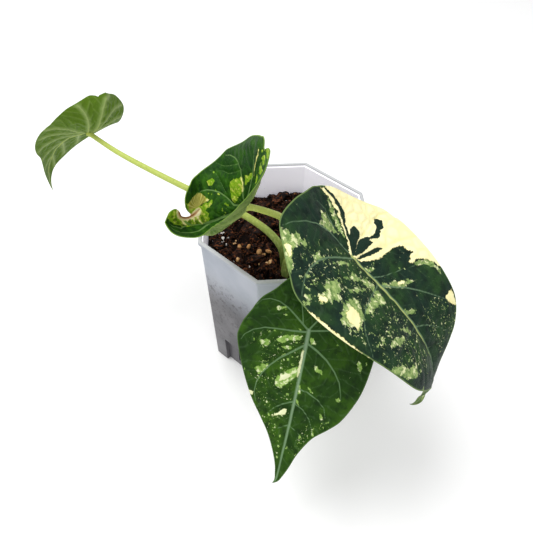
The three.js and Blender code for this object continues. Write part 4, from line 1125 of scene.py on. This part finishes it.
class Shader:
    """A new material and short ways to add nodes to it."""

    def __init__(self, name):
        self.material = bpy.data.materials.new(name)
        self.material.use_nodes = True
        self.tree = self.material.node_tree
        self.surface = self.tree.nodes["Principled BSDF"]

    def add(self, kind, inputs=None, **settings):
        made = self.tree.nodes.new("ShaderNode" + kind)
        for key, value in settings.items():
            setattr(made, key, value)
        for key, value in (inputs or {}).items():
            self.put(made.inputs[key], value)
        return made

    def put(self, socket, value):
        if isinstance(value, bpy.types.NodeSocket):
            self.tree.links.new(value, socket)
        else:
            socket.default_value = value

    def place(self):
        return self.add("TexCoord").outputs["Object"]

    def value(self, name):
        return self.add("Attribute", attribute_name=name).outputs["Fac"]

    def vector(self, name):
        return self.add("Attribute", attribute_name=name).outputs["Vector"]

    def math(self, operation, a, b=0.0, clamp=False):
        return self.add("Math", {0: a, 1: b}, operation=operation, use_clamp=clamp).outputs[0]

    def times(self, a, b):
        return self.math("MULTIPLY", a, b)

    def plus(self, a, b):
        return self.math("ADD", a, b)

    def minus(self, a, b):
        return self.math("SUBTRACT", a, b)

    def noise(self, vector, scale, detail=3.0, rough=0.55):
        inputs = {"Vector": vector, "Scale": scale, "Detail": detail, "Roughness": rough, "Distortion": 0.0}
        return self.add("TexNoise", inputs).outputs["Fac"]

    def seams(self, vector, scale):
        """Distance to the nearest edge between cells."""
        inputs = {"Vector": vector, "Scale": scale}
        return self.add("TexVoronoi", inputs, feature="DISTANCE_TO_EDGE").outputs["Distance"]

    def stretch(self, vector, scale):
        return self.add("Mapping", {"Vector": vector, "Scale": scale}).outputs["Vector"]

    def step(self, value, low, high, to_low=0.0, to_high=1.0):
        """Value taken smoothly from to_low to to_high as it goes from low to high."""
        inputs = {"Value": value, "From Min": low, "From Max": high, "To Min": to_low, "To Max": to_high}
        return self.add("MapRange", inputs, interpolation_type="SMOOTHSTEP").outputs["Result"]

    def fade(self, value, high, most, low=0.0):
        """The most at a low value, fading to nothing at a high one."""
        return self.step(value, low, high, most, 0.0)

    def patches(self, vector, scale, detail, rough, low, high, most=1.0):
        """Soft patches of noise, from nothing up to the most."""
        return self.step(self.noise(vector, scale, detail, rough), low, high, 0.0, most)

    def mix(self, share, a, b):
        made = self.add("Mix", data_type="RGBA", blend_type="MIX")
        for socket, value in ((0, share), (6, a), (7, b)):
            self.put(made.inputs[socket], value)
        return made.outputs[2]

    def bump(self, height, strength, distance):
        inputs = {"Height": height, "Strength": strength, "Distance": distance}
        return self.add("Bump", inputs).outputs["Normal"]

    def finish(self, colour, roughness, normal=None, **constants):
        self.put(self.surface.inputs["Base Color"], colour)
        self.put(self.surface.inputs["Roughness"], roughness)
        if normal is not None:
            self.put(self.surface.inputs["Normal"], normal)
        for key, value in constants.items():
            self.surface.inputs[key.replace("_", " ")].default_value = value
        return self.material


def leaf_material(name):
    p = PALETTES[name]
    s = Shader(f"leaf_{name}")
    flat = s.vector("flat")
    ragged = s.times(s.minus(s.noise(flat, 0.55, 6.0, 0.68), 0.5), p["ragged"])
    stripe = s.value("stripe")
    nearest = s.value("nearest")
    vein = s.value("vein")

    # The green ground, paler along the side veins
    colour = s.mix(s.patches(flat, 0.06, 3.0, 0.6, 0.38, 0.68), p["base"], p["glow"])
    colour = s.mix(s.patches(flat, 0.22, 4.0, 0.6, 0.42, 0.72, 0.8), colour, p["shade"])
    hollow = s.times(s.fade(stripe, 0.55, 1.0), s.step(nearest, 0.3, 1.4))
    colour = s.mix(s.times(hollow, p["hollow"]), colour, p["vein"])

    # Light green patches, broken by islands of the ground
    light = s.plus(s.value("light"), ragged)
    light_colour = s.mix(s.patches(flat, 0.5, 4.0, 0.75, 0.36, 0.6), p["light2"], p["light"])
    light_colour = s.mix(s.patches(flat, 0.42, 4.0, 0.6, 0.52, 0.6, 0.8), light_colour, p["pale"])
    islands = s.patches(flat, 0.9, 3.0, 0.7, 0.66, 0.69)
    colour = s.mix(s.times(s.step(light, -0.1, 0.2), s.minus(1.0, islands)), colour, light_colour)

    # The tan fan with its fine ribs
    shifted = s.add("Mapping", {"Vector": flat, "Location": FAN_SHIFT}).outputs["Vector"]
    spread = s.add("SeparateXYZ", {0: shifted}).outputs
    ribs = s.math("SINE", s.times(s.math("ARCTAN2", spread["Y"], spread["X"]), FAN_RIBS))
    tan = s.mix(s.step(ribs, -0.4, 0.9, 0.0, 0.7), srgb(158, 152, 62), srgb(204, 196, 116))
    colour = s.mix(s.step(s.plus(s.value("tan"), s.times(ragged, 0.6)), -0.3, 0.3), colour, tan)

    # Specks, thicker in the speckled stretches
    lift = s.times(s.step(s.value("speckled"), -3.0, 3.0), 0.1)
    gate = s.times(s.minus(s.noise(flat, 0.2, 2.0), 0.5), 0.38)
    speck = s.plus(s.plus(s.noise(flat, 0.85, 4.0, 0.68), lift), gate)
    speck_colour = s.mix(s.patches(flat, 0.5, 2.0, 0.55, 0.5, 0.62), p["light"], p["pale"])
    colour = s.mix(s.step(speck, p["speck"], p["speck"] + 0.02), colour, speck_colour)

    # Cream stretches, yellower at their edges, darker and yellower in the seams between the raised puffs and
    # by the sunken veins as painted shade, and dark blotches on them
    cream = s.plus(s.value("cream"), s.times(ragged, 0.5))
    # Painted shade: the cream turns to a darker yellow in the seams between the puffs and beside the sunken
    # veins
    cream_colour = s.mix(s.fade(s.value("quilt"), 0.35, 0.35), p["cream"], p["yellow_and_shade"])
    cream_colour = s.mix(s.fade(nearest, 1.2, 0.35), cream_colour, p["yellow_and_shade"])
    cream_colour = s.mix(s.step(cream, 0.0, p["halo"]), p["yellow_and_shade"], cream_colour)
    cream_share = s.step(cream, -0.1, 0.2)
    colour = s.mix(cream_share, colour, cream_colour)
    dark = s.plus(s.value("dark"), s.times(ragged, 0.3))
    colour = s.mix(s.step(dark, -0.45, -0.2, 0.0, p["blotch"]), colour, p["base"])

    # Main veins and the edge, which the cream covers
    not_cream = s.math("SUBTRACT", 1.0, cream_share, clamp=True)
    vein_colour = s.mix(s.step(vein, 0.3, 0.6), p["vein"], p["midrib"])
    vein_share = s.times(s.step(vein, -0.2, 0.15), not_cream)
    colour = s.mix(s.times(vein_share, 0.85), colour, vein_colour)
    colour = s.mix(s.times(s.fade(s.value("margin"), 0.5, 0.8, 0.1), not_cream), colour, p["edge"])

    # The scar along the torn edge
    scar = s.value("scar")
    scar_colour = s.mix(s.step(scar, 0.2, 0.9), srgb(216, 182, 136), srgb(150, 94, 44))
    colour = s.mix(s.step(s.plus(scar, s.times(ragged, 0.15)), -0.2, 0.3), colour, scar_colour)

    # The underside: pale veins, with soft pale bands beside them that are painted highlight on the raised
    # ribs
    below = s.mix(s.patches(flat, 0.1, 3.0, 0.6, 0.35, 0.65, 0.55), p["under"], p["glow"])
    # Painted highlight: a soft pale band up to 2.6 mm either side of each main vein, and a faint one along
    # the side veins
    below = s.mix(s.fade(nearest, 2.6, 0.48), below, p["under_vein_and_highlight"])
    below = s.mix(s.fade(stripe, 0.9, 0.12), below, p["under_vein_and_highlight"])
    below = s.mix(s.times(s.step(vein, -0.4, 0.1), 0.45), below, p["under_vein_and_highlight"])
    below = s.mix(s.times(s.step(vein, 0.1, 0.4), 0.9), below, p["midrib"])
    below = s.mix(s.times(cream_share, 0.8), below, p["cream"])
    colour = s.mix(s.step(s.value("under"), 0.45, 0.65), colour, below)

    skin = s.plus(s.step(s.seams(flat, 0.8), 0.0, 0.14), s.times(s.noise(flat, 4.0, 3.0), 0.6))
    roughness = s.step(s.noise(flat, 0.9, 3.0), 0.3, 0.7, 0.42, 0.56)
    return s.finish(colour, roughness, s.bump(skin, 0.35, 0.00022), Specular_IOR_Level=0.08)


def stalk_material():
    s = Shader("petiole")
    place = s.place()
    colour = s.mix(s.step(s.value("height"), 0.15, 1.0), srgb(108, 130, 60), srgb(176, 190, 92))
    streaks = s.noise(s.stretch(place, (900, 900, 90)), 1.0, 3.0)
    colour = s.mix(s.step(streaks, 0.45, 0.7, 0.0, 0.45), colour, srgb(196, 206, 126))
    freckles = s.noise(place, 700, 2.0)
    colour = s.mix(s.step(freckles, 0.62, 0.72, 0.0, 0.35), colour, srgb(104, 122, 60))
    roughness = s.step(freckles, 0.2, 0.8, 0.4, 0.54)
    return s.finish(colour, roughness, s.bump(streaks, 0.25, 0.0002), Specular_IOR_Level=0.2)


def pot_material():
    """Milky plastic, dark where the mix shows through; its inside is painted pale and glows faintly, as
    painted light coming through the wall; heights here are in metres.
    """
    s = Shader("clear_plastic")
    place = s.place()
    z = s.add("SeparateXYZ", {0: place}).outputs["Z"]
    cloudy = s.noise(place, 28, 4.0, 0.6)
    clean = s.mix(s.step(cloudy, 0.35, 0.7), srgb(176, 181, 191), srgb(158, 164, 175))
    dirt = s.mix(s.step(cloudy, 0.3, 0.65), srgb(84, 80, 83), srgb(56, 52, 55))
    colour = s.mix(s.times(s.step(z, *DIRT_FADE), 0.92), clean, dirt)
    patch = s.patches(place, 45, 3.0, 0.55, 0.32, 0.56)
    band = s.times(s.step(z, 0.088, 0.07), s.step(z, 0.012, 0.03, 0.45, 1.0))
    contact = s.times(s.times(s.patches(place, 330, 5.0, 0.72, 0.53, 0.6), patch), band)
    colour = s.mix(s.times(contact, 0.85), colour, srgb(44, 42, 46))
    # Painted light: above the mix the inside is painted near white, a lit copy of the grey plastic standing
    # in for light through the wall
    inner = s.times(s.value("inner"), s.step(z, *INNER_PAINTED_LIGHT_FADE))
    colour = s.mix(inner, colour, s.mix(cloudy, srgb(254, 252, 255), srgb(244, 242, 250)))
    lip = s.step(z, *LIP_FADE)
    colour = s.mix(lip, colour, srgb(186, 188, 190))
    # Painted glow: the inside below the lip emits a faint pale light, standing in for light coming through
    # the wall
    painted_glow = s.mix(inner, srgb(0, 0, 0), srgb(232, 229, 242))
    s.put(s.surface.inputs["Emission Color"], s.mix(lip, painted_glow, srgb(0, 0, 0)))
    scuffs = s.noise(s.stretch(place, (60, 60, 420)), 1.0, 4.0)
    roughness = s.step(cloudy, 0.3, 0.7, 0.28, 0.42)
    normal = s.bump(scuffs, 0.12, 0.0004)
    return s.finish(colour, roughness, normal, Specular_IOR_Level=0.32, Emission_Strength=0.24)


def mix_material():
    s = Shader("potting_mix_dark")
    place = s.place()
    coarse = s.noise(place, 160, 5.0, 0.7)
    fine = s.noise(place, 900, 4.0, 0.7)
    colour = s.mix(s.step(coarse, 0.35, 0.65), srgb(5, 3, 3), srgb(20, 10, 7))
    colour = s.mix(s.step(fine, 0.6, 0.72, 0.0, 0.8), colour, srgb(128, 76, 44))
    roughness = s.step(coarse, 0.3, 0.7, 0.7, 0.95)
    return s.finish(colour, roughness, s.bump(fine, 0.8, 0.0007), Specular_IOR_Level=0.1)


def piece_material(name, low, high, speck):
    """A grainy material between two colours by each piece's tint, with specks of a third."""
    s = Shader(name)
    grain = s.noise(s.stretch(s.place(), (500, 900, 500)), 1.0, 4.0, 0.65)
    colour = s.mix(s.value("tint"), low, high)
    colour = s.mix(s.step(grain, 0.5, 0.72, 0.0, 0.7), colour, speck)
    roughness = s.step(grain, 0.3, 0.7, 0.6, 0.9)
    return s.finish(colour, roughness, s.bump(grain, 0.7, 0.0005), Specular_IOR_Level=0.15)


# Scene

def make_camera():
    data = bpy.data.cameras.new("camera")
    data.lens = CAMERA_LENS
    data.sensor_width = 36
    data.clip_start = 0.01
    camera = bpy.data.objects.new("camera", data)
    camera.location = Vector(CAMERA_AT) * MM
    camera.rotation_euler = (math.radians(90 - CAMERA_PITCH), 0, -math.radians(CAMERA_YAW))
    bpy.context.scene.collection.objects.link(camera)
    bpy.context.scene.camera = camera


def make_light(name, at, power):
    data = bpy.data.lights.new(name, "AREA")
    data.shape = "DISK"
    data.size = LIGHT_SIZE
    data.energy = power
    light = bpy.data.objects.new(name, data)
    light.location = at
    light.rotation_euler = (Vector(LIGHT_AIM) - Vector(at)).to_track_quat("-Z", "Y").to_euler()
    bpy.context.scene.collection.objects.link(light)


def make_world():
    world = bpy.data.worlds.new("studio")
    world.use_nodes = True
    background = world.node_tree.nodes["Background"]
    background.inputs["Color"].default_value = (1, 1, 1, 1)
    background.inputs["Strength"].default_value = WORLD_STRENGTH
    bpy.context.scene.world = world
    bpy.context.scene.view_settings.view_transform = "Standard"


def make_floor():
    s = Shader("floor")
    soft = s.noise(s.place(), 6.0, 2.0)
    colour = s.mix(soft, srgb(250, 250, 250), srgb(254, 254, 254))
    material = s.finish(colour, 0.9, Specular_IOR_Level=0.1)
    size = FLOOR_HALF_SIZE
    corners = [(-size, -size, 0), (size, -size, 0), (size, size, 0), (-size, size, 0)]
    floor = make_object("floor", corners, [[0, 1, 2, 3]], material, smooth=False)
    floor.location.z = FLOOR_LEVEL


make_camera()
make_floor()
make_light("key", (-0.35, 0.1, 1.1), 8.0)
make_light("front", (0.1, -0.9, 0.9), 3.4)
make_world()

petiole = stalk_material()
for leaf_name in LEAVES:
    make_blade(leaf_name, leaf_material(leaf_name))
    make_stalk(leaf_name, petiole)
make_pot(pot_material())
make_mix(mix_material())
bark = piece_material("bark", srgb(4, 2, 2), srgb(34, 17, 10), srgb(150, 88, 52))
make_pieces("bark_chips", BARK_COUNT, (0.9, 3.2), 1.0, 0.75, bark, 5)
grit = piece_material("grit_tan", srgb(176, 122, 70), srgb(214, 172, 118), srgb(230, 200, 160))
make_pieces("tan_grit", 46, (0.35, 1.1), 0.6, 0.5, grit, 11)
make_pieces("prills", len(PRILL_SPOTS), (1.4, 2.0), 0.15, 0.12, grit, 3, -0.6, PRILL_SPOTS)
white = piece_material("perlite", srgb(206, 200, 194), srgb(240, 238, 234), srgb(250, 250, 248))
make_pieces("perlite_grains", 34, (0.3, 0.8), 0.5, 0.5, white, 17)
make_pieces("perlite_cluster", len(WHITE_SPOTS), (0.5, 0.95), 0.9, 0.4, white, 29, -1.2, WHITE_SPOTS)
make_crumbs(bark, CRUMB_SPOTS)
make_fibres(piece_material("coir", srgb(74, 40, 22), srgb(128, 78, 46), srgb(160, 108, 66)))
